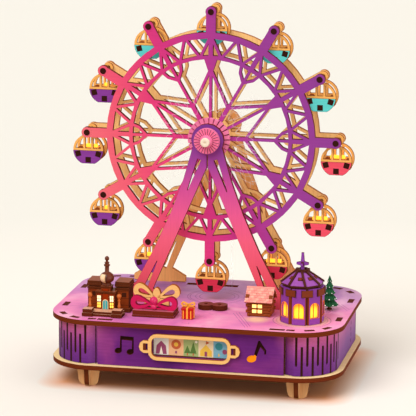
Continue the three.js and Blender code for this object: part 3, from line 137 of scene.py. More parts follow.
def addNode(tree, kind, inputs=None, output=None, stops=(), **settings):
    # adds a node, sets it, fills its inputs and gives the output asked for, or else its first live one;
    # stops are a ramp's places and hex colours, in their order
    node = tree.nodes.new("ShaderNode" + kind)
    for key, value in settings.items():
        setattr(node, key, value)
    fillInputs(tree, node.inputs, inputs or {})
    if stops:
        elements = node.color_ramp.elements
        for element, (place, colour) in zip(elements, (stops[0], stops[-1])):
            element.position, element.color = place, linear(colour)
        for place, colour in stops[1:-1]:
            elements.new(place).color = linear(colour)
    if output:
        return node.outputs[output]
    return next((socket for socket in node.outputs if socket.enabled), None)


def chain(tree, kind, value, *steps):
    # a value led through nodes, each step an operation and its other inputs
    for operation, *others in steps:
        value = addNode(tree, kind, {0: value, **dict(enumerate(others, 1))}, operation=operation)
    return value


roomLight = {"backdrop": "#fdf7eb", "backdropGain": 0.973, "fill": 0.45, "fillColour": "#fff2e4",
             "suns": (("keySun", 2.2, 45, (40, 0, -30)), ("rimSun", 1.1, 100, (62, 0, 120)),
                      ("frontFill", 1.15, 45, (87, 0, 48)))}


def seenRay(tree):
    # 1 for rays that the camera sees by, straight, mirrored or through something clear; 0 for the rest
    path = addNode(tree, "LightPath").node.outputs
    return chain(tree, "Math", path["Is Camera Ray"], ("MAXIMUM", path["Is Glossy Ray"]),
                 ("MAXIMUM", path["Is Transmission Ray"]))


def lightRoom(room):
    world = bpy.data.worlds.new("studio")
    bpy.context.scene.world = world
    world.use_nodes = True
    tree = world.node_tree
    tree.nodes.clear()
    fill = addNode(tree, "Background", {"Color": room["fillColour"], "Strength": room["fill"]})
    back = addNode(tree, "Background", {"Color": room["backdrop"], "Strength": room["backdropGain"]})
    mix = addNode(tree, "MixShader", {0: seenRay(tree), 1: fill, 2: back})
    addNode(tree, "OutputWorld", {"Surface": mix})
    for name, strength, spread, turn in room["suns"]:
        lamp = linkNew(name, bpy.data.lights.new(name, "SUN"))
        lamp.data.use_shadow = name != "frontFill"      # the fill only lifts what stands in shade
        lamp.data.energy, lamp.data.angle = strength, math.radians(spread)
        lamp.rotation_euler = [math.radians(a) for a in turn]


lightRoom(roomLight)


# Surfaces: a skin is its points and its faces, and a solid is a closed skin and the number of its material

def gridFaces(rows, columns):
    # quads of a grid of points, row by row, whose columns run round
    row, column = np.meshgrid(np.arange(rows - 1), np.arange(columns), indexing="ij")
    here, ahead = row * columns + column, row * columns + (column + 1) % columns
    return np.stack((here, ahead, ahead + columns, here + columns), axis=-1).reshape(-1, 4).tolist()


def capped(rings):
    # a closed skin over rings of points, with one face across the first ring and one across the last
    rings = np.asarray(rings, float)
    count, sides = rings.shape[:2]
    ends = [list(range(sides))[::-1], [(count - 1) * sides + i for i in range(sides)]]
    return rings.reshape(-1, 3), gridFaces(count, sides) + ends


def stood(points, depth, axis):
    # points of a plan and their depth, as x, y and z for a board whose thickness runs along an axis
    u, v = points[..., 0], points[..., 1]
    depth = np.broadcast_to(depth, u.shape)
    return np.stack({"y": (u, depth, v), "z": (u, v, depth), "x": (depth, u, v)}[axis], axis=-1)


def spun(points, angle):
    # points of a plan turned about its origin
    c, s = math.cos(angle), math.sin(angle)
    return np.asarray(points, float) @ np.array([[c, s], [-s, c]])


def inset(outline, amount):
    # each point moved in by the same amount from both of its edges
    ahead = np.roll(outline, -1, axis=0) - outline
    ahead /= np.linalg.norm(ahead, axis=1)[:, None]
    normal = np.stack([-ahead[:, 1], ahead[:, 0]], axis=1)
    x, z = outline.T
    if np.sum(x * np.roll(z, -1) - z * np.roll(x, -1)) < 0:
        normal = -normal
    total = normal + np.roll(normal, 1, axis=0)
    share = 2 / np.maximum(np.sum(total ** 2, axis=1), 0.5)
    return outline + total * (share * amount)[:, None]


def slab(outline, start, end, axis="y", bevel=0.15):
    # a board: its outline carried from start to end, drawn in at both ends by the bevel
    outline = np.asarray(outline, float)
    inner = inset(outline, bevel)
    return capped([stood(inner, start, axis), stood(outline, start + bevel, axis),
                   stood(outline, end - bevel, axis), stood(inner, end, axis)])


def boxOf(x0, x1, y0, y1, z0, z1, mark=0, bevel=0.12):
    # a board between two corners, with its material's number
    return slab([[x0, z0], [x1, z0], [x1, z1], [x0, z1]], y0, y1, "y", bevel), mark


def turned(profile, centre, axis="z", sides=48, flutes=0, fluteDepth=0.0, bored=False):
    # radius and distance pairs carried round an axis, with the radius rippled by flutes; a bored one's
    # profile closes on itself, and any other is closed across its two ends
    profile = np.asarray(profile, float)
    angle = np.arange(sides) * 2 * np.pi / sides
    radius = profile[:, :1] * (1 - fluteDepth * (0.5 - 0.5 * np.cos(angle * flutes)))
    plan = np.stack([radius * np.cos(angle), radius * np.sin(angle)], axis=-1)
    rings = stood(plan, np.broadcast_to(profile[:, 1:], radius.shape), axis) + np.asarray(centre)
    return (rings.reshape(-1, 3), gridFaces(len(profile), sides)) if bored else capped(rings)


def ball(centre, radius, sides=24):
    # a half circle carried round the upright axis
    angle = np.linspace(0.02, math.pi - 0.02, sides // 2)
    return turned(np.stack([radius * np.sin(angle), -radius * np.cos(angle)], axis=1), centre, "z", sides)


def circlePoints(x, z, radius, sides=32, start=0.0, end=2 * math.pi):
    # points round a circle, or along an arc when start and end are given
    closed = abs(end - start - 2 * math.pi) < 1e-6
    angle = np.linspace(start, end, sides, endpoint=not closed)
    return np.stack([x + radius * np.cos(angle), z + radius * np.sin(angle)], axis=1)


def rectangle(x, z, width, height, tilt=0.0):
    # four corners round a middle, turned about it
    return spun(np.array([[-1, -1], [1, -1], [1, 1], [-1, 1]]) * [width / 2, height / 2], tilt) + [x, z]


def archOutline(width, height, sides=16):
    # a rectangle with a half circle on top, standing on 0
    radius = width / 2
    arc = circlePoints(0, height - radius, radius, sides, 0, math.pi)
    return np.concatenate([[[-radius, 0], [radius, 0]], arc])


def plateSkin(outer, holes, start, end):
    # a plate with holes: its closed outlines filled flat, and carried from start to end in y
    curve = bpy.data.curves.new("outlines", "CURVE")
    curve.dimensions, curve.fill_mode, curve.extrude = "2D", "BOTH", (end - start) / 2 * mm
    for loop in (outer, *holes):
        spline = curve.splines.new("POLY")
        spline.points.add(len(loop) - 1)
        flat = np.column_stack([np.asarray(loop) * mm, np.zeros(len(loop)), np.ones(len(loop))])
        spline.points.foreach_set("co", flat.ravel())
        spline.use_cyclic_u = True
    shape = linkNew("outlines", curve)
    bpy.context.view_layer.update()
    mesh = bpy.data.meshes.new_from_object(shape)
    points = np.empty(len(mesh.vertices) * 3)
    mesh.vertices.foreach_get("co", points)
    points = points.reshape(-1, 3) / mm
    faces = [list(polygon.vertices) for polygon in mesh.polygons]
    bpy.data.objects.remove(shape)
    bpy.data.meshes.remove(mesh)
    return stood(points[:, :2], points[:, 2] + (start + end) / 2, "y"), faces


def sheetOf(corners, thickness):
    # a flat board: its corners carried along their own normal
    corners = np.asarray(corners, float)
    normal = np.cross(corners[1] - corners[0], corners[2] - corners[0])
    return capped([corners, corners + normal / np.linalg.norm(normal) * thickness])


def lineBand(path, width, start, end, closed=True):
    # a line of constant width along a path of x and z, carried from start to end in y
    path = np.asarray(path, float)
    if closed:
        path = np.concatenate([path, path[:1]])
    along = np.gradient(path, axis=0)
    if closed:
        along[0] = along[-1] = path[1] - path[-2]
    along /= np.linalg.norm(along, axis=1)[:, None]
    side = np.stack([along[:, 1], -along[:, 0]], axis=1) * width / 2
    edges = ((path + side, start), (path + side, end), (path - side, end), (path - side, start))
    points, faces = capped(np.stack([stood(edge, depth, "y") for edge, depth in edges], axis=1))
    return points, faces[:-2] if closed else faces


def shifted(solids, offset, turn=0.0):
    # solids turned about the upright axis and then moved
    c, s = math.cos(turn), math.sin(turn)
    matrix = np.array([[c, s, 0], [-s, c, 0], [0, 0, 1]])
    return [((points @ matrix + np.asarray(offset), faces), mark) for (points, faces), mark in solids]


def finishMesh(mesh, smoothAngle, dissolve=False):
    # merges doubled points, turns the faces outwards or joins flat ones, and marks the edges that stay sharp
    shell = bmesh.new()
    shell.from_mesh(mesh)
    bmesh.ops.remove_doubles(shell, verts=shell.verts, dist=1e-6)
    if dissolve:
        bmesh.ops.dissolve_limit(shell, angle_limit=math.radians(0.5), verts=shell.verts, edges=shell.edges)
    else:
        bmesh.ops.recalc_face_normals(shell, faces=shell.faces)
    shell.to_mesh(mesh)
    shell.free()
    mesh.shade_smooth()
    mesh.set_sharp_from_angle(angle=math.radians(smoothAngle))


def coat(node, material):
    # gives a node's solid one material
    nodes[node].data.materials.clear()
    nodes[node].data.materials.append(material)


def buildPiece(name, solids, materials, body, replaces=None):
    # one object from closed skins with its materials; one that stands for a node hides that node and gives it
    # the first material
    points, faces, marks, count = [], [], [], 0
    for (skinPoints, skinFaces), mark in solids:
        points.append(skinPoints)
        faces += [[i + count for i in face] for face in skinFaces]
        marks += [mark] * len(skinFaces)
        count += len(skinPoints)
    mesh = bpy.data.meshes.new(name)
    mesh.from_pydata((np.concatenate(points) * mm).tolist(), [], faces)
    for material in materials:
        mesh.materials.append(material)
    mesh.polygons.foreach_set("material_index", marks)
    finishMesh(mesh, 35)
    piece = linkNew(name, mesh)
    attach(piece, body)
    if replaces:
        coat(replaces, materials[0])
        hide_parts(replaces)


def softenNode(node, width):
    # the node's own shape, merged and with softened edges, in the node's place
    mesh = nodes[node].data.copy()
    mesh.name = node + "_soft"
    finishMesh(mesh, 32, dissolve=True)
    piece = linkNew(node + "_soft", mesh)
    bevel = piece.modifiers.new("softEdge", "BEVEL")
    bevel.width, bevel.segments, bevel.limit_method = width * mm, 1, "ANGLE"
    bevel.angle_limit, bevel.harden_normals = math.radians(40), True
    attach(piece, nodes[node]["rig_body"])
    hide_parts(node)


# Materials

def newMaterial(name):
    # an empty material: its tree, its shader's inputs and its place in Object coordinates
    material = bpy.data.materials.new(name)
    material.use_nodes = True
    tree = material.node_tree
    tree.nodes.clear()
    surface = addNode(tree, "BsdfPrincipled")
    addNode(tree, "OutputMaterial", {"Surface": surface})
    return material, tree, surface.node.inputs, addNode(tree, "TexCoord", output="Object")


plyLook = {"grainWidth": 0.7, "grainLength": 14, "veneer": 1.0, "grainDark": 0.88, "grainLight": 1.05,
           "printRoughness": 0.42, "bareRoughness": 0.55, "cutRoughness": 0.75, "bump": 0.05,
           "specular": 0.08}
smoothLook = dict(plyLook, grainDark=0.95, grainLight=1.02)      # under thick print the grain shows less


def woodGrain(tree, place, grain, look):
    # fibres: a noise drawn out along the grain, and the tone that it gives the colour
    stretch = [1 / mm / look["grainLength" if a == grain else "grainWidth"] for a in "xyz"]
    fibres = addNode(tree, "Mapping", {"Vector": place, "Scale": stretch})
    noise = addNode(tree, "TexNoise", {"Vector": fibres, "Scale": 1.0, "Detail": 3.0})
    tone = addNode(tree, "MapRange", {0: noise, 1: 0.3, 2: 0.7, 3: look["grainDark"], 4: look["grainLight"]})
    return noise, tone


def plyMaterial(name, axis, face, cut, grain="x", look=plyLook, printed=True, back=None, bent=None):
    # laser-cut birch plywood: a printed or bare face with faint grain, and scorched brown cut edges
    # whose veneers show as fine dark lines
    material, tree, shader, place = newMaterial(name)
    normal = place.node.outputs["Normal"]
    noise, tone = woodGrain(tree, place, grain, look)
    side = addNode(tree, "SeparateXYZ", {0: normal}, axis.upper())
    if bent:
        # a wall that bends round the corners faces away from each corner's middle
        outward = chain(tree, "VectorMath", place, ("SUBTRACT", (0, baseY * mm, 0)), ("ABSOLUTE",),
                        ("SUBTRACT", bent), ("MAXIMUM", (0, 0, 0)), ("NORMALIZE",))
        size = chain(tree, "VectorMath", normal, ("ABSOLUTE",), ("DOT_PRODUCT", outward))
    else:
        size = chain(tree, "Math", side, ("ABSOLUTE",))
    isFace = chain(tree, "Math", size, ("GREATER_THAN", 0.8))
    colour = face(tree, place) if callable(face) else face
    if back:
        isBack = chain(tree, "Math", side, ("GREATER_THAN", 0.0))
        colour = addNode(tree, "Mix", {0: isBack, 6: colour, 7: back}, data_type="RGBA")
    depth = addNode(tree, "SeparateXYZ", {0: place}, axis.upper())
    wave = chain(tree, "Math", depth, ("MULTIPLY", 2 * math.pi / look["veneer"] / mm), ("SINE",))
    veneers = addNode(tree, "MapRange", {0: wave, 1: -1.0, 2: 1.0, 3: 0.75, 4: 1.15})
    edge, grained = [addNode(tree, "Mix", {0: 1.0, 6: under, 7: over}, data_type="RGBA",
                             blend_type="MULTIPLY") for under, over in ((cut, veneers), (colour, tone))]
    rough = addNode(tree, "MapRange", {0: isFace, 3: look["cutRoughness"],
                                       4: look["printRoughness" if printed else "bareRoughness"]})
    fillInputs(tree, shader, {
        "Base Color": addNode(tree, "Mix", {0: isFace, 6: edge, 7: grained}, data_type="RGBA"),
        "Roughness": rough, "Specular IOR Level": look["specular"],
        "Normal": addNode(tree, "Bump", {"Height": noise, "Distance": look["bump"] * mm, "Strength": 0.5})})
    return material


def plainMaterial(name, colour, roughness=0.5, metallic=0.0, mottle=0.06, grain=1.5, emission="#ffffff",
                  glow=0.0, specular=0.12, alpha=1.0):
    # a moulded, turned or painted surface with a faint mottle of its own
    material, tree, shader, place = newMaterial(name)
    noise = addNode(tree, "TexNoise", {"Vector": place, "Scale": 1 / grain / mm, "Detail": 3.0})
    tone = addNode(tree, "MapRange", {0: noise, 1: 0.3, 2: 0.7, 3: 1 - mottle, 4: 1 + mottle})
    mottled = addNode(tree, "Mix", {0: 1.0, 6: colour, 7: tone}, data_type="RGBA", blend_type="MULTIPLY")
    fillInputs(tree, shader, {"Base Color": mottled, "Roughness": roughness, "Metallic": metallic,
                              "Specular IOR Level": specular, "Emission Color": emission,
                              "Emission Strength": glow, "Alpha": alpha})
    return material


def clearMaterial(name, alpha, roughness=0.03):
    # a colourless plastic that lets most of what is behind it through
    material, tree, shader = newMaterial(name)[:3]
    fillInputs(tree, shader, {"Base Color": "#fdfdfd", "Transmission Weight": 1.0, "Roughness": roughness,
                              "IOR": 1.1, "Alpha": alpha})
    return material


def fade(tree, place, slope, centre, reach, stops):
    # a ramp along a direction: the distance from the centre along the slope, over plus and minus the reach
    along = chain(tree, "VectorMath", place, ("SUBTRACT", np.array(centre) * mm), ("DOT_PRODUCT", slope))
    share = addNode(tree, "MapRange", {0: along, 1: -reach * mm, 2: reach * mm})
    return addNode(tree, "ValToRGB", {0: share}, stops=stops)


def wheelPrint(tree, place):
    # coral on the left through magenta to violet on the right, tilted a little
    return fade(tree, place, (0.958, 0.0, 0.287), (0.0, 0.0, hubZ), 75,
                ((0.0, "#f4727e"), (0.18, "#ee587a"), (0.32, "#e03e7e"), (0.45, "#cf3888"), (0.56, "#b83c94"),
                 (0.7, "#9e409a"), (1.0, "#92429c")))


def legPrint(tree, place):
    # violet at the hub through pink to coral at the feet
    return fade(tree, place, (0.0, 0.0, 1.0), (0.0, 0.0, deckTop + 55), 58,
                ((0.0, "#cc4458"), (0.2, "#e4566a"), (0.38, "#ee6282"), (0.52, "#e85e96"), (0.66, "#d0529c"),
                 (0.78, "#a846a0"), (0.88, "#863f96"), (1.0, "#763a90")))


windowFoot = (middle("log_cabin_walls")[0], low("log_cabin_walls")[1] - 6)
deckLook = {"cloud": 20.0, "turnsLilac": (-25, 30), "ink": "#9a4f8e", "line": 0.4,
            "rings": (((2, 9), (11, 13.5, 17, 18.5)), (towerCentre, (15.5, 17.5))),
            # the last entry lays painted pools of warm lamplight on the deck before the lit windows of the
            # log cabin and the tower
            "paintedLampPools": ((windowFoot, (2, 11), 0.75, "#ffd9a8"), (towerCentre, (13, 19), 0.7, "#ffc79c"))}


def deckPrint(tree, place, look=deckLook):
    # clouds of rose, pink and lilac, bluer towards the back, with engraved rings below the lowest cabin and
    # round the tower, and a painted warm pool of lamplight before the lit windows
    noise = addNode(tree, "TexNoise", {"Vector": place, "Scale": look["cloud"], "Detail": 5.0,
                                       "Distortion": 1.2})
    front = addNode(tree, "ValToRGB", {0: noise},
                    stops=((0.3, "#c66cb6"), (0.43, "#e47cbc"), (0.55, "#f590c4"), (0.7, "#fbb6d4")))
    rear = addNode(tree, "ValToRGB", {0: noise}, stops=((0.3, "#a26cb6"), (0.5, "#c084c2"), (0.7, "#dca8d0")))
    back, (start, end) = addNode(tree, "SeparateXYZ", {0: place}, "Y"), look["turnsLilac"]
    depth = addNode(tree, "MapRange", {0: back, 1: start * mm, 2: end * mm}, interpolation_type="SMOOTHSTEP")
    colour = addNode(tree, "Mix", {0: depth, 6: front, 7: rear}, data_type="RGBA")
    lines = []
    for centre, radii in look["rings"]:
        away = chain(tree, "VectorMath", place, ("DISTANCE", np.array([*centre, deckTop]) * mm))
        lines += [chain(tree, "Math", away, ("COMPARE", r * mm, look["line"] / 2 * mm)) for r in radii]
    lines = chain(tree, "Math", lines[0], *(("MAXIMUM", line) for line in lines[1:]))
    colour = addNode(tree, "Mix", {0: lines, 6: colour, 7: look["ink"]}, data_type="RGBA")
    # painted lamplight: the print turns warm near each lit window
    for centre, (near, far), strength, glow in look["paintedLampPools"]:
        away = chain(tree, "VectorMath", place, ("DISTANCE", np.array([*centre, deckTop]) * mm))
        share = addNode(tree, "MapRange", {0: away, 1: near * mm, 2: far * mm, 3: strength, 4: 0.0},
                        interpolation_type="SMOOTHSTEP")
        colour = addNode(tree, "Mix", {0: share, 6: colour, 7: glow}, data_type="RGBA")
    return colour


def wallPrint(tree, place):
    # deep violet clouds, and at the corners a fall from pink at the top to violet below
    noise = addNode(tree, "TexNoise", {"Vector": place, "Scale": 30.0, "Detail": 5.0, "Distortion": 0.5})
    cloudy = addNode(tree, "ValToRGB", {0: noise},
                     stops=((0.3, "#571f6c"), (0.5, "#6c277c"), (0.68, "#8e3a84")))
    split = addNode(tree, "SeparateXYZ", {0: place}).node.outputs
    bent = chain(tree, "Math", noise, ("MULTIPLY_ADD", 12 * mm, split["Z"]))
    rise = addNode(tree, "MapRange", {0: bent, 1: (low("front_panel")[2] + 6) * mm, 2: (deckTop + 6) * mm})
    corners = addNode(tree, "ValToRGB", {0: rise},
                      stops=((0.0, "#602a80"), (0.3, "#7c3890"), (0.55, "#a24c98"), (0.8, "#ca649e"),
                             (1.0, "#e486b2")))
    aside = chain(tree, "Math", split["X"], ("ABSOLUTE",))
    corner = addNode(tree, "MapRange", {0: aside, 1: 50 * mm, 2: 66 * mm}, interpolation_type="SMOOTHSTEP")
    return addNode(tree, "Mix", {0: corner, 6: cloudy, 7: corners}, data_type="RGBA")


def footPly(face="#e6b078", cut="#6a3014", half=1.55):
    # two crossed boards: the end of the one that runs back shows as a dark strip down the middle
    material, tree, shader, place = newMaterial("crossedFootPly")
    footX = abs(middle("foot_front_left")[0]) * mm
    facing = addNode(tree, "SeparateXYZ", {0: place.node.outputs["Normal"]}).node.outputs
    across = chain(tree, "Math", addNode(tree, "SeparateXYZ", {0: place}, "X"), ("ABSOLUTE",))
    strip, near = [chain(tree, "Math", across, ("COMPARE", footX, width * mm)) for width in (half, 2 * half)]
    ends, sides = [chain(tree, "Math", facing[way], ("ABSOLUTE",), ("GREATER_THAN", 0.7)) for way in "YX"]
    middleCut = chain(tree, "Math", strip, ("MULTIPLY", ends))
    either = chain(tree, "Math", middleCut, ("MAXIMUM", chain(tree, "Math", sides, ("SUBTRACT", near))))
    colour = addNode(tree, "Mix", {0: either, 6: face, 7: cut}, data_type="RGBA")
    tone = woodGrain(tree, place, "z", plyLook)[1]
    grained = addNode(tree, "Mix", {0: 1.0, 6: colour, 7: tone}, data_type="RGBA", blend_type="MULTIPLY")
    fillInputs(tree, shader, {"Base Color": grained, "Roughness": plyLook["bareRoughness"],
                              "Specular IOR Level": plyLook["specular"]})
    return material


# under, with its half sizes and fade: a painted warm shade in the floor's colour beneath the box
floorLook = {"near": "#f7f2ea", "far": "#e8e7e0", "fade": (0.10, 0.45), "bounce": "#94765a",
             "under": "#f5aa7a", "shadeTintHalf": (0.080, 0.052, 0.0), "shadeTintFade": 0.018, "reach": 30.0}


def layFloor(look):
    # pale and matt, a little darker far off; under the box a painted warm brown shade, full inside a
    # rectangle and fading with how far a point lies outside it; light that it gives back is brown, as from a
    # wooden table
    material, tree, shader, place = newMaterial("paleFloor")
    away = chain(tree, "VectorMath", place, ("LENGTH",))
    share = addNode(tree, "MapRange", {0: away, 1: look["fade"][0], 2: look["fade"][1]})
    colour = addNode(tree, "Mix", {0: share, 6: look["near"], 7: look["far"]}, data_type="RGBA")
    outside = chain(tree, "VectorMath", place, ("ABSOLUTE",), ("SUBTRACT", look["shadeTintHalf"]),
                    ("MAXIMUM", (0, 0, 0)), ("LENGTH",))
    paintedShadeTint = addNode(tree, "MapRange", {0: outside, 1: 0.0, 2: look["shadeTintFade"], 3: 1.0, 4: 0.0})
    colour = addNode(tree, "Mix", {0: paintedShadeTint, 6: colour, 7: look["under"]}, data_type="RGBA")
    colour = addNode(tree, "Mix", {0: seenRay(tree), 6: look["bounce"], 7: colour}, data_type="RGBA")
    fillInputs(tree, shader, {"Base Color": colour, "Roughness": 0.9, "Specular IOR Level": 0.1})
    mesh = bpy.data.meshes.new("paleFloor")
    reach = look["reach"]
    mesh.from_pydata([(-reach, -reach, 0), (reach, -reach, 0), (reach, reach, 0), (-reach, reach, 0)], [],
                     [(0, 1, 2, 3)])
    mesh.materials.append(material)
    linkNew("paleFloor", mesh)


layFloor(floorLook)

bareFace = "#ffd28c"
bareStanding = plyMaterial("barePlyStanding", "y", bareFace, "#a8602a", grain="z", printed=False)
framePly = plyMaterial("barePlyFrame", "y", "#efb06a", "#b86a26", grain="z", printed=False)
# the bottom plate: pale on top and dark brown beneath, a painted shade that deepens the shadow under the box
plyDarkUnderside = plyMaterial("plyWithShadeDarkUnderside", "z", "#54280f", "#6e2c10", printed=False, back="#ffe0a4")
bareTurned = plainMaterial("bareTurnedBeech", "#e0a35a", 0.55)
wheelFront = plyMaterial("wheelPrintedPly", "y", wheelPrint, "#66240e", look=smoothLook, back=bareFace)
legFront = plyMaterial("legPrintedPly", "y", legPrint, "#6a2418", grain="z", look=smoothLook, back=bareFace)
deckPly = plyMaterial("deckPrintedPly", "z", deckPrint, "#722e10")
panelPly = plyMaterial("panelPrintedPly", "y", wallPrint, "#5a2413", bent=(*cornerMiddle * mm, 1.0))
lobedPly = plyMaterial("roseStainedPly", "z", "#7e3a34", "#54200e")
purpleStain = plyMaterial("purplePrintedPly", "y", "#8d45a8", "#5a2134")
tanPrint = plyMaterial("tanPrintedPly", "y", "#f9c47a", "#a8561c")
creamPaint = plainMaterial("creamPaint", "#f6e7d2", 0.35)
# near-black: scorched tab ends, rods and seams, and also painted shade in slits, a recess and the box's
# inside
tabEndAndShadeDark = plainMaterial("scorchedTabEndAndPaintedShade", "#2f0f06", 0.7, specular=0.1)
movementBrass = plainMaterial("satinBrass", "#c9a24a", 0.32, 1.0)
movementSteel = plainMaterial("groundSteel", "#b4b6ba", 0.3, 1.0)
clearAcrylic = clearMaterial("clearAcrylic", 0.07)
clearBand = clearMaterial("clearElasticBand", 0.3, 0.3)
footWood = footPly()

# materials, the width of the softened edges where there are any, and the nodes that take them; a node
# that a piece further down stands for takes that piece's first material
nodeLooks = (
    (plyDarkUnderside, 0.2, "bottom_plate"), (deckPly, 0.2, "top_plate"),
    (panelPly, 0.12, "back_panel right_end_wrap left_end_wrap"), (tanPrint, 0.25, "window_frame"),
    (footWood, 0.12, "foot_front_left foot_front_right foot_rear_left foot_rear_right"),
    (legFront, 0.28, "front_a_frame"), (framePly, 0.28, "rear_a_frame"), (wheelFront, 0.32, "front_wheel"),
    (bareStanding, 0.32, "rear_wheel"), (bareStanding, 0.12, "rear_flange"), (bareTurned, 0.12, "hub_spacer"),
    (movementSteel, 0.12, "axle"), (bareTurned, 0.12, "drive_pulley"), (lobedPly, 0.12, "lobed_block"),
    (purpleStain, 0.12, "tower_finial"), (clearAcrylic, 0, "window_pane clear_disc"),
    (creamPaint, 0, "scene_card"), (bareTurned, 0, "output_pulley"), (clearBand, 0, "drive_band"),
    (movementBrass, 0, "movement_bedplate pinned_cylinder spring_barrel governor"),
    (movementSteel, 0, "comb winding_key"))
for material, width, names in nodeLooks:
    for node in names.split():
        coat(node, material)
        if width:
            softenNode(node, width)
print("nodes dressed")


# Cabins: two round plates with windows, a printed half on each, three boards between them whose tab
# ends show, and a rod through the ears

cabinLook = {"radius": 9.5, "flat": 8.6, "drop": 11.6, "ear": 2.9, "ring": 1.4, "sill": 0.9, "bar": 1.3,
             "window": 3.6, "plate": 2.0, "depth": 12.2, "print": 0.2, "printTop": -0.4, "tab": 3.5,
             "proud": 0.14, "tabs": ((0.0, -6.2, 0.0), (-6.4, -2.5, 15.0), (6.4, -2.5, -15.0)),
             "boards": ((0.0, -7.8, 8.0, 2.2, 0.0), (-6.784, -2.5, 2.2, 6.0, -7.5),
                        (6.784, -2.5, 2.2, 6.0, 7.5)),
             "washer": 0.3, "washerGap": 0.03, "washerRadius": 2.494, "rod": 1.254, "rodOut": 0.2,
             "head": 1.9, "headFrom": 0.12, "headTo": 0.45, "lamp": (0, 1.7, 1.8), "lampIn": 2.4,
             "lampEdge": 0.4,
             "lampWidths": {4: 9.0, 5: 9.0, 6: 9.0, 8: 9.0, 10: 9.0, 9: 2.4, 11: 2.4},
             # the paint after coral is that coral darkened: painted shade on cabins 6 and 7, near the bottom
             # of the wheel
             "paints": {"teal": "#64dcda", "coral": "#f4566c", "shadedCoral": "#d0344e", "purple": "#8a3f9e"},
             "colours": ("teal", "teal", "teal", "coral", "coral", "shadedCoral", "shadedCoral", "purple", "purple",
                         "purple", "purple", "teal")}


def cabinOutlines(look):
    # the round plate with its flat foot and ear, its three windows and its printed half, round its middle
    radius, drop, ear = look["radius"], look["drop"], look["ear"]
    reach = (drop ** 2 + radius ** 2 - ear ** 2) / (2 * drop)
    foot, shoulder = math.acos(look["flat"] / radius), math.acos(reach / radius)
    neck = math.acos((drop - reach) / ear)
    right = math.pi / 2
    outer = np.concatenate([circlePoints(0, 0, radius, 24, -right + foot, right - shoulder),
                            circlePoints(0, drop, ear, 18, -right + neck, 3 * right - neck)[1:-1],
                            circlePoints(0, 0, radius, 24, right + shoulder, 3 * right - foot)])
    inner, sill, half = radius - look["ring"], look["sill"], look["window"] / 2
    bar = half + look["bar"]
    shoulderZ = math.sqrt(inner ** 2 - half ** 2)
    middleWindow = [[-half, sill], [half, sill], [half, shoulderZ], [0, inner], [-half, shoulderZ]]
    arc = circlePoints(0, 0, inner, 12, math.asin(sill / inner), math.acos(bar / inner))
    rightWindow = np.concatenate([[[bar, sill]], arc])
    level = math.asin(look["printTop"] / radius)
    printed = np.concatenate([circlePoints(0, 0, radius, 20, -right + foot, level),
                              circlePoints(0, 0, radius, 20, math.pi - level, 3 * right - foot)])
    return outer, (middleWindow, rightWindow, rightWindow[::-1] * [-1, 1]), printed


cabinBare = plyMaterial("cabinBarePly", "y", "#fdbc66", "#94480f", printed=False)
cabinLamp = plainMaterial("warmCabinLamp", "#ffc84a", 0.4, emission="#ffb02a", glow=1.6)
cabinPaints = {name: plyMaterial(name + "CabinPrint", "y", colour, "#4a1c10")
               for name, colour in cabinLook["paints"].items()}


def buildCabin(number, look):
    # both plates with their print and tab ends, the boards between them, the rod with its heads and
    # washers, and in some a lamp
    node = f"cabin_{number:02d}"
    outer, holes, printed = cabinOutlines(look)
    rodFront, rodBack, drop = low(node)[1], high(node)[1], look["drop"]
    front, back = (rodFront + rodBack - look["depth"]) / 2, (rodFront + rodBack + look["depth"]) / 2
    inside = (front + look["plate"], back - look["plate"])
    bare, paint, dark, lamp = range(4)
    solids = []
    for face, out in ((front, -1), (back, 1)):
        solids.append((plateSkin(outer, holes, *sorted((face, face - out * look["plate"]))), bare))
        solids.append((slab(printed, *sorted((face, face + out * look["print"]))), paint))
        tabTo = face + out * (look["print"] + look["proud"])
        for x, z, tilt in look["tabs"]:
            end = rectangle(x, z, look["tab"], look["tab"], math.radians(tilt))
            solids.append((slab(end, *sorted((face, tabTo))), dark))
    for x, z, width, height, tilt in look["boards"]:
        solids.append((slab(rectangle(x, z, width, height, math.radians(tilt)), *inside), bare))
    near, far = look["washerGap"], look["washerGap"] + look["washer"]
    rounds = ((look["rod"], 20, rodFront - look["rodOut"], rodBack + look["rodOut"], dark),
              (look["head"], 24, rodFront - look["headTo"], rodFront - look["headFrom"], dark),
              (look["head"], 24, rodBack + look["headFrom"], rodBack + look["headTo"], dark),
              (look["washerRadius"], 28, front - far, front - near, bare),
              (look["washerRadius"], 28, back + near, back + far, bare))
    for radius, sides, start, end, mark in rounds:
        solids.append((slab(circlePoints(0, drop, radius, sides), start, end), mark))
    if number in look["lampWidths"]:
        x, z, height = look["lamp"]
        solids.append((slab(rectangle(x, z, look["lampWidths"][number], height), inside[0] + look["lampIn"],
                            inside[1] - look["lampIn"], bevel=look["lampEdge"]), lamp))
    place = (middle(node)[0], 0, high(node)[2] - look["ear"] - drop)
    materials = [cabinBare, cabinPaints[look["colours"][number - 1]], tabEndAndShadeDark, cabinLamp]
    buildPiece(f"cabin{number:02d}Dress", shifted(solids, place), materials, node + "_body", node)


for number in range(1, 13):
    buildCabin(number, cabinLook)
print("cabins built")

# Arm tips: a round board over each arm's end, flush with the wheel it belongs to

tipLook = {"radius": 3.35, "proud": 0.03, "circle": 77.5, "edge": 0.1}
tipOutline = circlePoints(0, tipLook["circle"], tipLook["radius"], 36)
for side, material, slot in (("front", wheelFront, "wheel_print"), ("rear", bareStanding, "natural_wood")):
    tipFront = low(side + "_wheel")[1] - tipLook["proud"]
    tipBack = high(side + "_wheel")[1] + tipLook["proud"]
    tips = [(slab(spun(tipOutline, -i * math.pi / 6), tipFront, tipBack, bevel=tipLook["edge"]), 0)
            for i in range(12)]
    buildPiece(side + "ArmTips", shifted(tips, (0, 0, hubZ)), [material], "wheel")


# Hub: a flange of petals behind the front A-frame, a grooved cap disc, a dome and a cream knob

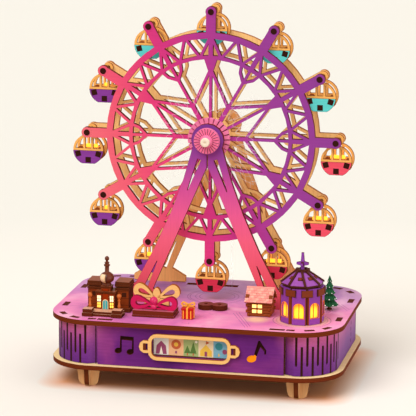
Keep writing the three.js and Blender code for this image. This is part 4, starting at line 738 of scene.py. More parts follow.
hubLook = {"petals": 24, "petalDepth": 4.2, "slit": 0.8, "backing": (0.4, 1.0, 0.1), "groove": 0.45,
           "grooveTurn": 0.09, "bore": 2.4, "rib": (0.3, 0.36, -0.03, 0.4), "knobHole": 0.5}
petalPrint = plainMaterial("pinkPetalPrint", "#f080ac", 0.45)
grooveDark = plainMaterial("scorchedGroove", "#5c1830", 0.7, specular=0.1)
hubPaint = plainMaterial("pinkHubPrint", "#f57fab", 0.4)


def petalOutline(radius, count, depth, slit):
    # a circle with narrow slits, each two straight sides that run in to a narrow end
    step, half = 2 * math.pi / count, slit / radius / 2
    offsets = [-half, -half * 0.8, half * 0.8, half, step * 0.35, step * 0.65]
    angles = (np.arange(count)[:, None] * step + offsets).ravel()
    radii = np.tile([radius, radius - depth, radius - depth, radius, radius, radius], count)
    return np.stack([radii * np.cos(angles), radii * np.sin(angles)], axis=1)


def groovedDisc(radius, inner, thickness, count, depth, turn):
    # a disc whose front dips along narrow radial grooves: each ring of points at a radius has its depth
    # lowered where the angle lies within a share of the step from a groove
    sides = count * 10
    angle = np.arange(sides) * 2 * np.pi / sides
    inStep = np.abs((angle / (2 * np.pi / count)) % 1 - 0.5)
    dips = np.clip((inStep - (0.5 - turn)) / turn, 0, 1)
    radii = np.array([inner, inner, inner * 1.15, radius * 0.97, radius, radius, inner])
    depths = np.array([thickness, 0, 0, 0, 0.25, thickness, thickness])
    grooves = np.array([0, 0.4, 1, 1, 0.8, 0, 0])[:, None]
    r = radii[:, None] * (1 - 0.03 * dips * grooves)
    rings = stood(np.stack([r * np.cos(angle), r * np.sin(angle)], axis=-1),
                  depths[:, None] + depth * dips * grooves, "y")
    return rings.reshape(-1, 3), gridFaces(len(radii), sides)


def buildHub(look):
    # each piece is round the axle; the dome's profile is a quarter ellipse
    petals, hubCentre = look["petals"], (0, 0, hubZ)
    (radius, back), front = high("front_flange")[:2], low("front_flange")[1]
    flange = slab(petalOutline(radius, petals, look["petalDepth"], look["slit"]), front, back)
    less, start, end = look["backing"]
    backing = slab(circlePoints(0, 0, radius - less, 64), back - start, back - end)
    buildPiece("flangePetals", shifted([(flange, 0), (backing, 1)], hubCentre), [petalPrint, grooveDark],
               "wheel", "front_flange")
    capFront, capBack = low("hub_cap_disc")[1], high("hub_cap_disc")[1]
    capRadius, domeRadius = high("hub_cap_disc")[2] - hubZ, high("hub_dome")[2] - hubZ
    cap = [(groovedDisc(capRadius, look["bore"], capBack - capFront, petals, look["groove"],
                        look["grooveTurn"]), 0)]
    shorter, width, start, end = look["rib"]
    line = rectangle((capRadius + domeRadius) / 2, 0, capRadius - domeRadius - shorter, width)
    for i in range(petals):
        cap.append((slab(spun(line, 2 * math.pi * (i + 0.5) / petals), start, end, bevel=0), 1))
    buildPiece("capDisc", shifted(cap, (0, capFront, hubZ)), [hubPaint, grooveDark], "wheel", "hub_cap_disc")
    domeFront, domeBack, bore = low("hub_dome")[1], high("hub_dome")[1], look["bore"]
    arc = np.linspace(0, math.pi / 2, 8)
    shell = np.stack([bore + 0.1 + (domeRadius - bore - 0.1) * np.sin(arc),
                      domeBack - (domeBack - domeFront) * np.cos(arc)], axis=1)
    profile = [[bore, domeBack], [bore, domeFront], *shell, [domeRadius, domeBack], [bore, domeBack]]
    dome = turned(profile, hubCentre, "y", 96, bored=True)
    buildPiece("hubDome", [(dome, 0)], [hubPaint], "wheel", "hub_dome")
    front, back, hole = low("hub_knob")[1], high("hub_knob")[1], look["knobHole"]
    radius = high("hub_knob")[2] - hubZ
    profile = [[hole, back - 0.4], [hole, front + 0.1], [hole * 1.3, front], [radius * 0.75, front],
               [radius * 0.93, front + 0.15], [radius, front + 0.5], [radius, back - 0.1],
               [radius * 0.97, back]]
    buildPiece("hubKnob", [(turned(profile, hubCentre, "y", 64), 0)], [creamPaint], "wheel", "hub_knob")


buildHub(hubLook)
print("hub built")


# Clear disc: white petals etched on its front

discLook = {"petals": 12, "inner": 16.5, "line": 0.13, "deep": 0.05, "veins": 4, "veinStart": 6.0,
            "veinStep": 4.5, "veinLength": 3.2, "veinTilt": 0.075,
            "leaves": ((39.0, 3.6, 0.0), (31.2, 1.8, 0.0), (27.3, 2.88, 0.5))}
etched = plainMaterial("whiteEtchedLine", "#ffffff", 0.6, alpha=0.5)


def petalPath(inner, outer, swell, turn, points=26):
    # a petal: its half width is a sine of the way along, and it runs out on one side and back on the other
    share = np.linspace(0, 1, points)
    radius = inner + (outer - inner) * share
    half = swell * np.sin(np.pi * share ** 0.8)
    across = np.concatenate([half, -half[::-1][1:-1]])
    return spun(np.stack([across, np.concatenate([radius, radius[::-1][1:-1]])], axis=1), -turn)


def etchDisc(look):
    # each petal has a smaller one inside and one between it and the next, and short veins to both sides
    front, step = low("clear_disc")[1], 2 * math.pi / look["petals"]
    paths = []
    for i in range(look["petals"]):
        turn = step * (i + 0.5)
        paths += [(petalPath(look["inner"], outer, swell, turn + step * ahead), True)
                  for outer, swell, ahead in look["leaves"]]
        for v in range(look["veins"]):
            reach = look["inner"] + look["veinStart"] + v * look["veinStep"]
            start = spun([0, reach], -turn)
            paths += [([start, spun([0, reach + look["veinLength"]], -turn - side * look["veinTilt"])], False)
                      for side in (-1, 1)]
    solids = [(lineBand(path, look["line"], front - look["deep"], front - 0.01, closed), 0)
              for path, closed in paths]
    buildPiece("etchedPetals", shifted(solids, (0, 0, hubZ)), [etched], "wheel")


etchDisc(discLook)

# Window: a card behind the pane with a plain row of tents, trees and balloons; each shape has its points,
# its ink, and 1 where it lies on another

windowLook = {"panels": ("#e9e4da", "#f0b98a", "#a9b878", "#f2d9b4", "#7fb2c8"), "lift": 0.12, "thick": 0.05,
              "inks": {"cream": "#fbf3e2", "rust": "#c8643c", "plum": "#9a4a6c", "teal": "#3f8e96",
                       "leaf": "#5d7d3f", "gold": "#f0c04c"}, "floor": 0.4}
cream, rust, plum, teal, leaf, gold = range(5, 11)      # the inks' numbers, after those of the five panels
cardShapes = (
    (([[-3.4, 0], [3.4, 0], [2.9, 5.2], [0, 8.2], [-2.9, 5.2]], plum, 0),
     ([[-1.1, 0], [1.1, 0], [0, 5]], cream, 1)),
    ((circlePoints(0, 6.4, 3.0, 28), rust, 0), ([[-0.7, 0.8], [0.7, 0.8], [0.5, 2.4], [-0.5, 2.4]], plum, 0),
     (circlePoints(0, 6.4, 1.3, 24), gold, 1)),
    (([[-4.2, 1.4], [-0.2, 1.4], [-2.2, 6.2]], leaf, 0), (rectangle(-2.2, 0.75, 0.7, 1.5), rust, 0),
     ([[-0.6, 1.4], [3.4, 1.4], [1.4, 8.6]], leaf, 0), (rectangle(1.4, 0.75, 0.7, 1.5), rust, 0),
     (circlePoints(3.2, 8.6, 0.8, 20), cream, 0)),
    (([[-3.6, 0], [3.6, 0], [3.6, 3.4], [0, 7.4], [-3.6, 3.4]], gold, 0),
     (rectangle(0, 1.5, 1.6, 3), plum, 1),
     ([[0, 7.4], [0.15, 7.4], [2.2, 8.6], [0.15, 9.6], [0, 9.6]], rust, 0)),
    ((circlePoints(-1.2, 6.6, 2.3, 28), teal, 0), (circlePoints(2.4, 3.4, 1.5, 24), plum, 0),
     ([[-1.7, 0.5], [-0.7, 0.5], [-0.9, 2.2], [-1.5, 2.2]], gold, 0)))
paneLow, paneHigh = low("window_pane"), high("window_pane")


def buildCard(look):
    # five panels side by side, each with its plain shapes; a shape on a shape stands a little further out
    width = (paneHigh[0] - paneLow[0]) / len(look["panels"])
    bottom, top, y = paneLow[2], paneHigh[2], low("scene_card")[1]
    colours = {f"cardPanel{i + 1}": colour for i, colour in enumerate(look["panels"])}
    colours.update({name + "CardInk": colour for name, colour in look["inks"].items()})
    materials = [plainMaterial(name, colour, 0.7, mottle=0.03) for name, colour in colours.items()]
    solids = []
    for i, shapes in enumerate(cardShapes):
        x = (i - 2.5) * width
        solids.append(boxOf(x - (2 if i == 0 else 0), x + width + (2 if i == 4 else 0), y - 0.05, y - 0.01,
                            bottom - 1, top + 1, i, 0))
        for points, mark, over in shapes:
            front = y - look["lift"] - 0.08 * over
            outline = np.asarray(points, float) + [x + width / 2, bottom + look["floor"]]
            solids.append((slab(outline, front, front + look["thick"], bevel=0), mark))
    buildPiece("windowPicture", solids, materials, "base")


buildCard(windowLook)


# Palace: two wings and a hall of stained boards, with lit windows, a teal door, an onion dome and steps

palaceLook = {"wing": 8.3, "cornice": 1.6, "out": 0.5, "wingHeight": 18.6, "hallHeight": 13.4, "attic": 6.0,
              "hallWidth": 12.0, "hallOut": 5.5, "hallDepth": 12.0, "pane": 2.7, "paneX": 3.95,
              "panes": ((3.5, 6.7), (7.3, 10.9)), "seams": (4.2, 8.4, 12.6), "doorWidth": 3.0,
              "doorHeight": 5.6, "floor": 2.6, "stairHalf": 12.3, "stairDepth": 8.7, "stepBlock": 6.4,
              "blockHeight": 4.4}
wallBrown = plyMaterial("stainedWallPly", "y", "#843612", "#521f0b")
hallBrown = plyMaterial("amberHallPly", "y", "#942e04", "#561e08")
corniceBrown = plyMaterial("corniceBoardPly", "z", "#8f4a2c", "#5c280f")
stepPly = plyMaterial("roseStepPly", "z", "#d8a184", "#5c240d")
paneWarm = plainMaterial("litPaneWarm", "#ffd060", 0.4, emission="#ffb838", glow=1.1)
paneBright = plainMaterial("litPaneBright", "#fff0c8", 0.4, emission="#ffe6a8", glow=1.0)
tealDoor = plainMaterial("tealDoorPaint", "#3fa8ac", 0.4)
doorFrame = plainMaterial("paleDoorFrame", "#eec894", 0.5)
columnWood = plainMaterial("amberColumnBeech", "#c06020", 0.35, specular=0.3)


def boardAt(x, half, y0, y1, z0, z1, mark, bevel=0.12):
    # a board given by its middle and half its width
    return boxOf(x - half, x + half, y0, y1, z0, z1, mark, bevel)


def buildPalace(look):
    # boards stacked as boxes: two wings with cornices, and before them the hall with its attic and door
    node = "palace_walls"
    (left, hallY, base), (right, backY) = low(node), high(node)[:2]
    x0, out, thick = middle("palace_dome")[0], look["out"], look["cornice"]
    left, right, backY = left + out, right + out, backY - out
    frontY, top, floor = hallY + look["hallOut"], base + look["wingHeight"], base + look["floor"]
    wall, hall, cornice, warm, bright, teal, pale, dark = range(8)
    solids = []
    # the third layer, a near-black board set back under the cornice, is painted shade in the recess
    layers = ((0.0, base, top - 3.2 * thick, wall),
              (out * 0.6, top - 3.2 * thick + 0.1, top - 2.3 * thick, cornice),
              (-0.7, top - 2.3 * thick, top - 1.9 * thick, dark),
              (out, top - 1.9 * thick, top - thick, cornice), (out * 0.5, top - thick + 0.12, top, cornice))
    for x, aside in ((left + look["wing"] / 2, 0), (right - look["wing"] / 2, 1.2)):
        half = look["wing"] / 2
        solids += [boardAt(x, half + reach, frontY - reach, backY + reach, bottom, upper, mark)
                   for reach, bottom, upper, mark in layers]
        solids += [boardAt(x, half + 0.05, frontY - 0.06, frontY + 1, base + z, base + z + 0.18, dark, 0)
                   for z in look["seams"]]
        solids.append(boardAt(x + aside, 1.4, frontY - 0.12, frontY + 1, base + 9.2, base + 12.0, dark))
        solids += [boardAt(x + aside + offset, 0.12, frontY - 0.2, frontY + 1, base + 9.4, base + 11.8,
                           cornice, 0) for offset in (-0.7, 0.0, 0.7)]
    solids.append(boxOf(left - 0.6, right + 0.8, frontY - 0.9, backY, base, base + 2.3, cornice))
    half, hallTop, hallBack = look["hallWidth"] / 2, base + look["hallHeight"], hallY + look["hallDepth"]
    solids.append(boardAt(x0, half, hallY, hallBack, base, hallTop - 1.3, hall))
    solids.append(boardAt(x0, half + 0.35, hallY - 0.35, hallBack, hallTop - 1.2, hallTop, cornice))
    for side in (-1, 1):
        for x, width, ahead, foot in ((half - 0.55, 0.5, 0.3, base), (2.1, 0.22, 0.25, floor)):
            solids.append(boardAt(x0 + side * x, width, hallY - ahead, hallY + 1, foot, hallTop - 1.3, wall))
        x, width = x0 + side * look["paneX"], look["pane"] / 2
        for (bottom, upper), mark in zip(look["panes"], (warm, bright)):
            bottom, upper, level = base + bottom, base + upper, base + (bottom + upper) / 2
            solids += [boardAt(x, width, hallY - 0.16, hallY + 1, bottom - 0.3, upper + 0.3, wall),
                       boardAt(x, width - 0.25, hallY - 0.22, hallY + 1, bottom, upper, mark, 0),
                       boardAt(x, 0.12, hallY - 0.28, hallY + 1, bottom, upper, wall, 0),
                       boardAt(x, width, hallY - 0.28, hallY + 1, level - 0.12, level + 0.12, wall, 0)]
    attic, width, height = look["attic"] / 2, look["doorWidth"], look["doorHeight"]
    solids += [boardAt(x0, attic, hallY + 1, hallY + 7.5, hallTop - 0.5, hallTop + 2.1, wall),
               boardAt(x0, attic + 0.3, hallY + 0.8, hallY + 7.7, hallTop + 2.15, hallTop + 3.0, cornice),
               boardAt(x0, attic - 1.2, hallY + 0.6, hallY + 2, hallTop + 0.3, hallTop + 1.7, hall),
               (slab(archOutline(width + 0.8, height + 0.4) + [x0, floor], hallY - 0.3, hallY + 1), pale),
               (slab(archOutline(width, height) + [x0, floor], hallY - 0.42, hallY + 1), teal),
               boardAt(x0, 0.1, hallY - 0.5, hallY, floor + 0.1, floor + 5.3, pale, 0)]
    materials = [wallBrown, hallBrown, corniceBrown, paneWarm, paneBright, tealDoor, doorFrame, tabEndAndShadeDark]
    buildPiece("palaceBoards", solids, materials, "base", node)


buildPalace(palaceLook)

domeLook = {"profile": ((2.7, 0), (2.7, 1.3), (2.4, 1.6), (3.4, 2.2), (4.2, 3.2), (4.5, 4.4), (4.4, 5.5),
                        (3.8, 6.6), (2.8, 7.5), (1.6, 8.1), (1.35, 8.5), (1.3, 11.3), (1.4, 11.6),
                        (1.9, 12.1), (1.9, 12.7), (1.3, 13.1), (1.2, 13.5), (1.5, 13.8), (1.5, 14.2),
                        (0.8, 14.6), (0.7, 15.1), (0.95, 15.4), (1.3, 15.9), (1.42, 16.5), (1.3, 17.1),
                        (0.9, 17.6), (0.4, 17.9), (0.1, 18.0)),
            "gores": 10, "goreDepth": 0.035, "belly": 4.4, "bellyHalf": 2.7, "highlightWay": (-0.53, -0.85, 0.0)}
domeFoot = np.array([*middle("palace_dome")[:2], low("palace_dome")[2]])


def domeLacquer(look):
    # glossy brown lacquer with a painted highlight: one cream gore on the left of the front, with a painted
    # dark band of shade beside it
    material, tree, shader, place = newMaterial("domeLacquer")
    fromBelly = chain(tree, "VectorMath", place, ("SUBTRACT", (domeFoot + [0, 0, look["belly"]]) * mm))
    side = chain(tree, "VectorMath", fromBelly, ("MULTIPLY", (1, 1, 0)), ("NORMALIZE",),
                 ("DOT_PRODUCT", look["highlightWay"]))
    belly = chain(tree, "Math", addNode(tree, "SeparateXYZ", {0: fromBelly}, "Z"),
                  ("COMPARE", 0.0, look["bellyHalf"] * mm))
    highlightShare = chain(tree, "Math", addNode(tree, "MapRange", {0: side, 1: 0.5, 2: 1.0}), ("MULTIPLY", belly))
    # brown, a painted dark band of shade, then the painted cream highlight
    colour = addNode(tree, "ValToRGB", {0: highlightShare},
                     stops=((0.0, "#642a0e"), (0.5, "#541f09"), (0.7, "#2c0b04"), (0.77, "#dcae7c"),
                            (1.0, "#ffe2b8")))
    fillInputs(tree, shader, {"Base Color": colour, "Roughness": 0.3, "Specular IOR Level": 0.25})
    return material


dome = turned(domeLook["profile"], domeFoot, "z", 60, domeLook["gores"], domeLook["goreDepth"])
buildPiece("onionDome", [(dome, 0)], [domeLacquer(domeLook)], "base", "palace_dome")

columnProfile = ((1.3, 0), (1.3, 0.6), (0.9, 0.9), (0.75, 2.2), (0.95, 3.0), (0.95, 3.4), (0.7, 3.9),
                 (0.6, 6.2), (0.85, 6.6), (0.85, 7.0), (0.5, 7.3), (0.5, 7.9), (0.9, 8.3), (1.3, 9.0),
                 (1.44, 9.7), (1.25, 10.4), (0.8, 10.9), (0.3, 11.1), (0.05, 11.14))


def buildSteps(look):
    # two broad steps between two blocks, and on each block's side a turned column
    x0, base, floor = domeFoot[0], low("palace_steps")[2], look["floor"]
    frontY, half, width = low("palace_steps")[1] + 1, look["stairHalf"], look["stepBlock"] / 2
    backY = frontY + look["stairDepth"]
    solids = [boardAt(x0, half, frontY + 0.5, backY, base, base + 1.25, 0),
              boardAt(x0, half - 0.5, frontY + 1.3, backY, base + 1.3, base + floor, 0)]
    for x in (x0 - half + width, x0 + half - width):
        for bottom, top, less in ((0, 2.1, 0.0), (2.15, look["blockHeight"], 0.35)):
            solids.append(boardAt(x, width - less, frontY - 1 + less, frontY + 5.4 - less, base + bottom,
                                  base + top, 0))
        column = turned(np.array(columnProfile) * [1, 0.965], (x, backY - 1.8, base + floor - 0.3), "z", 28)
        solids.append((column, 1))
    buildPiece("palaceStairs", solids, [stepPly, columnWood], "base", "palace_steps")


buildSteps(palaceLook)
print("palace built")

# Bow: straps bent into loops, crimson before tan, on a plinth of two boards

bowLook = {"front": (6.9, 4.2, 0.10, 0.6, 3.0), "back": (7.3, 4.2, 0.40, 0.6, 5.6), "strap": 3.0,
           "inside": 0.74, "thick": 3.0, "plinth": ((0.0, 1.0, 0.0), (1.1, 3.8, 0.25)), "knot": 4.1,
           "drop": (2.5, 4.6, 7.2), "balls": ((5.6, 2.5), (1.9, 1.9))}
crimsonPaint = plyMaterial("crimsonBowPly", "y", "#c81c56", "#8a1038", look=smoothLook)
crimsonBall = plainMaterial("crimsonTurnedBall", "#d02460", 0.35, specular=0.3)
plinthPly = plyMaterial("roseTopPlinthPly", "z", "#c4647e", "#6c2812")


def loopPath(length, width, lean, baseX, side, growth, share, points=56):
    # a drop: its width swells from the knot to the far end, and it leans up from the knot
    angle = np.arange(points) * 2 * np.pi / points
    u, v = np.cos(angle), np.sin(angle)
    along = length * (1 + u) - growth * u
    across = (width * 1.5 - growth) * v * (0.55 + 0.45 * u) * share
    path = (spun(np.stack([along, across], axis=1), lean) + [baseX, 0]) * [side, 1]
    return path[::side]


def buildBow(look):
    # each loop is a drop with a smaller drop cut out; crimson balls stand for the knot
    (x1, y1, base), (x2, y2) = low("bow_plinth"), high("bow_plinth")[:2]
    x0, z, thick = middle("bow_plinth")[0], base + look["knot"], look["thick"]
    plinth = [boxOf(x1 + less, x2 - less, y1 + less, y2 - less, base + bottom, base + top)
              for bottom, top, less in look["plinth"]]
    buildPiece("bowPlinthBoards", plinth, [plinthPly], "base", "bow_plinth")
    for name in ("front", "back"):
        node = f"bow_{name}_loops"
        *shape, rise = look[name]
        y0 = high(node)[1] - thick if name == "back" else low(node)[1] + 2.6
        solids = []
        for side in (-1, 1):
            outer = loopPath(*shape, side, 0, 1) + [x0, z + rise]
            inner = loopPath(*shape, side, look["strap"], look["inside"]) + [x0, z + rise]
            solids.append((plateSkin(outer, [inner], y0, y0 + thick), 0))
        if name == "front":
            solids.append(boardAt(x0, 7.6, y0 + 0.4, y0 + 2.6, z, z + 1.2, 0))
            solids += [(ball((x0, y0, z + up), radius), 1) for up, radius in look["balls"]]
        else:
            wide, tall, up = look["drop"]
            solids.append((slab(circlePoints(0, 0, 1, 40) * [wide, tall] + [x0, z + up], y0, y0 + thick), 0))
            solids.append(boardAt(x0, 7.7, y0 + 0.2, y0 + 2.8, z, z + 5.2, 0))
        materials = [crimsonPaint, crimsonBall] if name == "front" else [tanPrint]
        buildPiece(name + "BowLoops", solids, materials, "base", node)


buildBow(bowLook)

# Gift: a red box with gold ribbons and two loops

giftLook = {"side": 6.8, "lid": 1.5, "lidOut": 0.25, "edge": 0.2, "ribbon": 1.1, "ribbonOut": 0.44,
            "lines": 0.34, "loop": 0.75, "loopHalf": 0.9}
giftPlastic = plainMaterial("redGiftPlastic", "#bc1412", 0.3)
goldRibbon = plainMaterial("goldSatinRibbon", "#f2a836", 0.35, specular=0.4)


def buildGift(look):
    x, y, base, side = middle("gift_box")[0], low("gift_box")[1], low("gift_box")[2], look["side"]
    half, band, out, top, middleY = side / 2, look["ribbon"] / 2, look["ribbonOut"], base + side, y + side / 2
    more, under = look["lidOut"], top - look["lid"]
    solids = [boardAt(x, half, y, y + side, base, under - 0.1, 0, look["edge"]),
              boardAt(x, half + more, y - more, y + side + more, under, top, 0, look["edge"]),
              boardAt(x, band, y - out, y + side + out, base + 0.05, top + 0.12, 1),
              boardAt(x, half + out, middleY - band, middleY + band, base + 0.05, top + 0.12, 1)]
    solids += [boardAt(x + corner * side, 0.3, y - 0.27, y + 1, base + 0.1, under - 0.05, 1, 0)
               for corner in (-look["lines"], look["lines"])]
    # a loop of ribbon: a circle drawn out sideways, narrower towards the knot and rising from it
    angle = np.arange(36) * 2 * np.pi / 36
    swell = np.stack([1.95 + 1.95 * np.cos(angle), 1.7 + 1.35 * np.sin(angle) * (0.6 + 0.4 * np.cos(angle))
                      + 0.35 * np.cos(angle)], axis=1)
    solids += [(lineBand(swell * [way, 1] + [x, top], look["loop"], middleY - look["loopHalf"],
                         middleY + look["loopHalf"]), 1) for way in (-1, 1)]
    solids.append((ball((x, middleY, top + 0.8), 0.9), 1))
    buildPiece("giftWithRibbon", solids, [giftPlastic, goldRibbon], "base", "gift_box")


buildGift(giftLook)

# Log cabin: courses of logs that cross at the corners, a lit window of four panes, and rows of shingles

logLook = {"log": 1.9, "courses": 5, "width": 14.2, "depth": 13.5, "end": 1.0, "wall": 1.6, "rise": 7.6,
           "out": 1.4, "rows": 6, "across": 8, "pitch": 0.7, "window": -1.0}
logWood = plainMaterial("stainedBeechLog", "#8a3f18", 0.5)
logSeam = plainMaterial("scorchedSeam", "#3c170a", 0.8, specular=0.1)
cabinPane = plainMaterial("litCabinPane", "#ffe08a", 0.4, emission="#ffcf6a", glow=1.3)
shingles = [plainMaterial(f"roseShingle{i + 1}", colour, 0.5)
            for i, colour in enumerate(("#f4a698", "#ee9a90", "#f9b6a4"))]


def logCabin(look):
    # every second course runs out past the corners one way, and the others the other way
    node = "log_cabin_walls"
    x0, y1, base, half, depth = middle(node)[0], low(node)[1], low(node)[2], look["width"] / 2, look["depth"]
    log, thick, top = look["log"], look["wall"], base + look["log"] * look["courses"]
    wood, seam, warm = range(3)
    solids = [boardAt(x0, half - 0.5, y1 + 0.5, y1 + depth - 0.5, base, top, seam)]
    for i in range(look["courses"]):
        bottom, upper = base + i * log, base + (i + 1) * log - 0.1
        long, short = (look["end"], 0.1) if i % 2 else (0.1, look["end"])
        short = min(short, 0.8)
        solids += [boardAt(x0, half + long, y, y + thick, bottom, upper, wood, 0.4)
                   for y in (y1, y1 + depth - thick)]
        solids += [boxOf(x, x + thick, y1 - short, y1 + depth + short, bottom, upper, wood, 0.4)
                   for x in (x0 - half, x0 + half - thick)]
    gable = [[y1 + 0.3, top - 0.2], [y1 + depth - 0.3, top - 0.2],
             [y1 + depth / 2, top + (look["rise"] - 0.7) * look["pitch"]]]
    solids += [(slab(gable, x, x + 1.2, "x"), wood) for x in (x0 - half + 0.2, x0 + half - 1.4)]
    x, bottom, upper = x0 + look["window"], base + log + 0.3, base + log * 4 - 0.2
    level = (bottom + upper) / 2
    solids += [boardAt(x, 3.5, y1 - 0.35, y1 + 1, bottom - 0.4, upper + 0.4, wood),
               boardAt(x, 3.0, y1 - 0.42, y1 + 1, bottom, upper, warm, 0),
               boardAt(x, 0.4, y1 - 0.6, y1 + 1, bottom, upper, wood),
               boardAt(x, 3.4, y1 - 0.6, y1 + 1, level - 0.55, level + 0.55, wood)]
    buildPiece("logCourses", solids, [logWood, logSeam, cabinPane], "base", node)


def logRoof(look):
    # both slopes carry rows of shingles, each row half a shingle aside and lapping the next
    node = "log_cabin_roof"
    x0, y0, eaveZ = middle(node)[0], middle(node)[1], low(node)[2]
    ridgeZ = eaveZ + (high(node)[2] - 0.6 - eaveZ) * look["pitch"]
    half, reach = look["width"] / 2 + look["out"], look["depth"] / 2 + look["out"]
    width, rows, board = 2 * half / look["across"], look["rows"], 3
    solids = []
    for side in (-1, 1):
        ridge = np.array([x0, y0, ridgeZ - 0.3])
        run = np.array([x0, y0 + side * reach, eaveZ + 0.2]) - ridge
        normal = np.array([0, -side * (eaveZ - ridgeZ), reach])
        normal /= np.linalg.norm(normal)
        # sheets on the slope: ends across it, shares down it, heights over it, thickness and mark
        sheets = [(-half, half, 0, 1, 0, 0, 0.9, board)]
        for row in range(rows):
            for i in range(-1, look["across"] + 1):
                left = max((i + row % 2 / 2) * width, 0) - half
                right = min((i + 1 + row % 2 / 2) * width - 0.12, 2 * half) - half
                up = 0.95 + 0.1 * ((i * 7 + row * 3) % 3)
                if right - left >= 0.3:
                    sheets.append((left, right, row / rows, min((row + 1.25) / rows, 1.02), up - 0.5, up, 0.4,
                                   (i * 5 + row * 2) % 3))
        sheets += [(left, left + 2.2, 0.5, 0.72, 1.35, 1.35, 0.5, board) for left in (0.2 - half, half - 2.4)]
        for left, right, start, end, upStart, upEnd, thick, mark in sheets:
            upper, lower = ridge + run * start + normal * upStart, ridge + run * end + normal * upEnd
            quad = [upper + [left, 0, 0], upper + [right, 0, 0], lower + [right, 0, 0], lower + [left, 0, 0]]
            solids.append((sheetOf(quad[::side], thick), mark))
    solids.append(boardAt(x0, half + 0.1, y0 - 0.8, y0 + 0.8, ridgeZ + 0.2, ridgeZ + 1.3, 0))
    buildPiece("shingleRoof", solids, [*shingles, logWood], "base", node)


logCabin(logLook)
logRoof(logLook)
print("log cabin built")

# Lantern tower: eight walls with lit arches between dark posts, a collar of blocks, and a ribbed roof

towerLook = {"apothem": 12.8, "height": 21.7, "wall": 2.0, "half": 4.1, "arch": 6.1, "archHeight": 9.2,
             "sill": 3.9, "collarLow": 17.3, "collarHigh": 21.2, "post": 2.6, "block": 6.6, "core": 10.5,
             "eave": 12.0, "tip": 2.8, "lamp": 7.0}
eighth = math.pi / 4
towerWall = plainMaterial("violetTowerPly", "#8a3fa0", 0.45)
towerDark = plainMaterial("scorchedPostPly", "#4a1c12", 0.6, specular=0.15)
blockPly = plainMaterial("stainedCollarBlock", "#7a3216", 0.55)
# the orange arch frames and the boards' side edges glow: painted lamplight from inside the tower on scorched
# wood
towerLampLitEdge = plainMaterial("lampLitArchFrame", "#e07a30", 0.5, emission="#d05a18", glow=0.25)
towerLampLitSide = plainMaterial("scorchedBoardSideLampLit", "#7c3010", 0.5, emission="#c0561a", glow=0.12)
roofViolet = plainMaterial("violetRoofPanel", "#9850a6", 0.42)


def lanternGlow(look):
    # paper lit from behind: brightest round the lamp at the middle of an arch, amber at its edge
    material, tree, shader, place = newMaterial("lanternGlow")
    lamp = np.array([*towerCentre, low("tower_walls")[2] + look["lamp"]]) * mm
    away = chain(tree, "VectorMath", place, ("DISTANCE", lamp))
    share = addNode(tree, "MapRange", {0: away, 1: 10.4 * mm, 2: 12.4 * mm})
    colour = addNode(tree, "ValToRGB", {0: share},
                     stops=((0.0, "#fffbd8"), (0.2, "#ffe95a"), (0.65, "#ffcb26"), (1.0, "#ff921a")))
    fillInputs(tree, shader, {"Base Color": colour, "Emission Color": colour, "Emission Strength": 1.0})
    return material


def roundTower(side, corner, base):
    # what one side and one corner have, at all eight of them
    return [solid for i in range(8) for solid in shifted(side, (*towerCentre, base), i * eighth)
            + shifted(corner, (*towerCentre, base), (i + 0.5) * eighth)]


def buildTower(look):
    # one side and one corner, repeated at all eight; the glow is a sheet behind each arch
    base, a, wallHigh, half = low("tower_walls")[2], look["apothem"], look["height"], look["half"]
    corner, block, sill = a / math.cos(eighth / 2), look["block"] / 2, look["sill"]
    collarLow, collarHigh = look["collarLow"], look["collarHigh"]
    wall, dark, lampLitFrame, glow, blockDark, edge = range(6)
    arch = archOutline(look["arch"], look["archHeight"], 18) + [0, sill]
    frame = archOutline(look["arch"] + 0.8, look["archHeight"] + 0.4, 18) + [0, sill - 0.2]
    side = [(plateSkin(rectangle(0, wallHigh / 2, 2 * half, wallHigh), [arch], -a, -a + look["wall"]), wall),
            # the frame round each arch and the bar in it glow with painted lamplight
            (plateSkin(frame, [arch], -a - 0.12, -a + 0.5), lampLitFrame),
            (slab(arch, -a + 1.3, -a + 1.9, bevel=0), glow),
            boardAt(0, 0.25, -a + 0.9, -a + 1.4, sill, sill + look["archHeight"], lampLitFrame, 0)]
    # strips at the board edges, scorched and with a faint painted glow of lamplight
    side += [boardAt(x, 0.14, -a - 0.03, -a + look["wall"], 0.1, collarLow, edge, 0) for x in (-half, half)]
    post = [boardAt(0, look["post"] / 2, -corner + 1.9, -look["core"], 0, wallHigh + 0.9, dark),
            boardAt(0, block + 0.25, -corner + 0.35, -a + 1.5, collarLow - 0.25, collarHigh + 0.25, dark),
            boardAt(0, block, -corner + 0.2, -a + 1, collarLow, collarHigh, blockDark)]
    core = spun(circlePoints(0, 0, look["core"] / math.cos(eighth / 2), 8), eighth / 2)
    solids = roundTower(side, post, base)
    solids += shifted([(slab(core, 0, wallHigh + 1.0, "z"), dark)], (*towerCentre, base))
    materials = [towerWall, towerDark, towerLampLitEdge, lanternGlow(look), blockPly, towerLampLitSide]
    buildPiece("towerWallBoards", solids, materials, "base", "tower_walls")


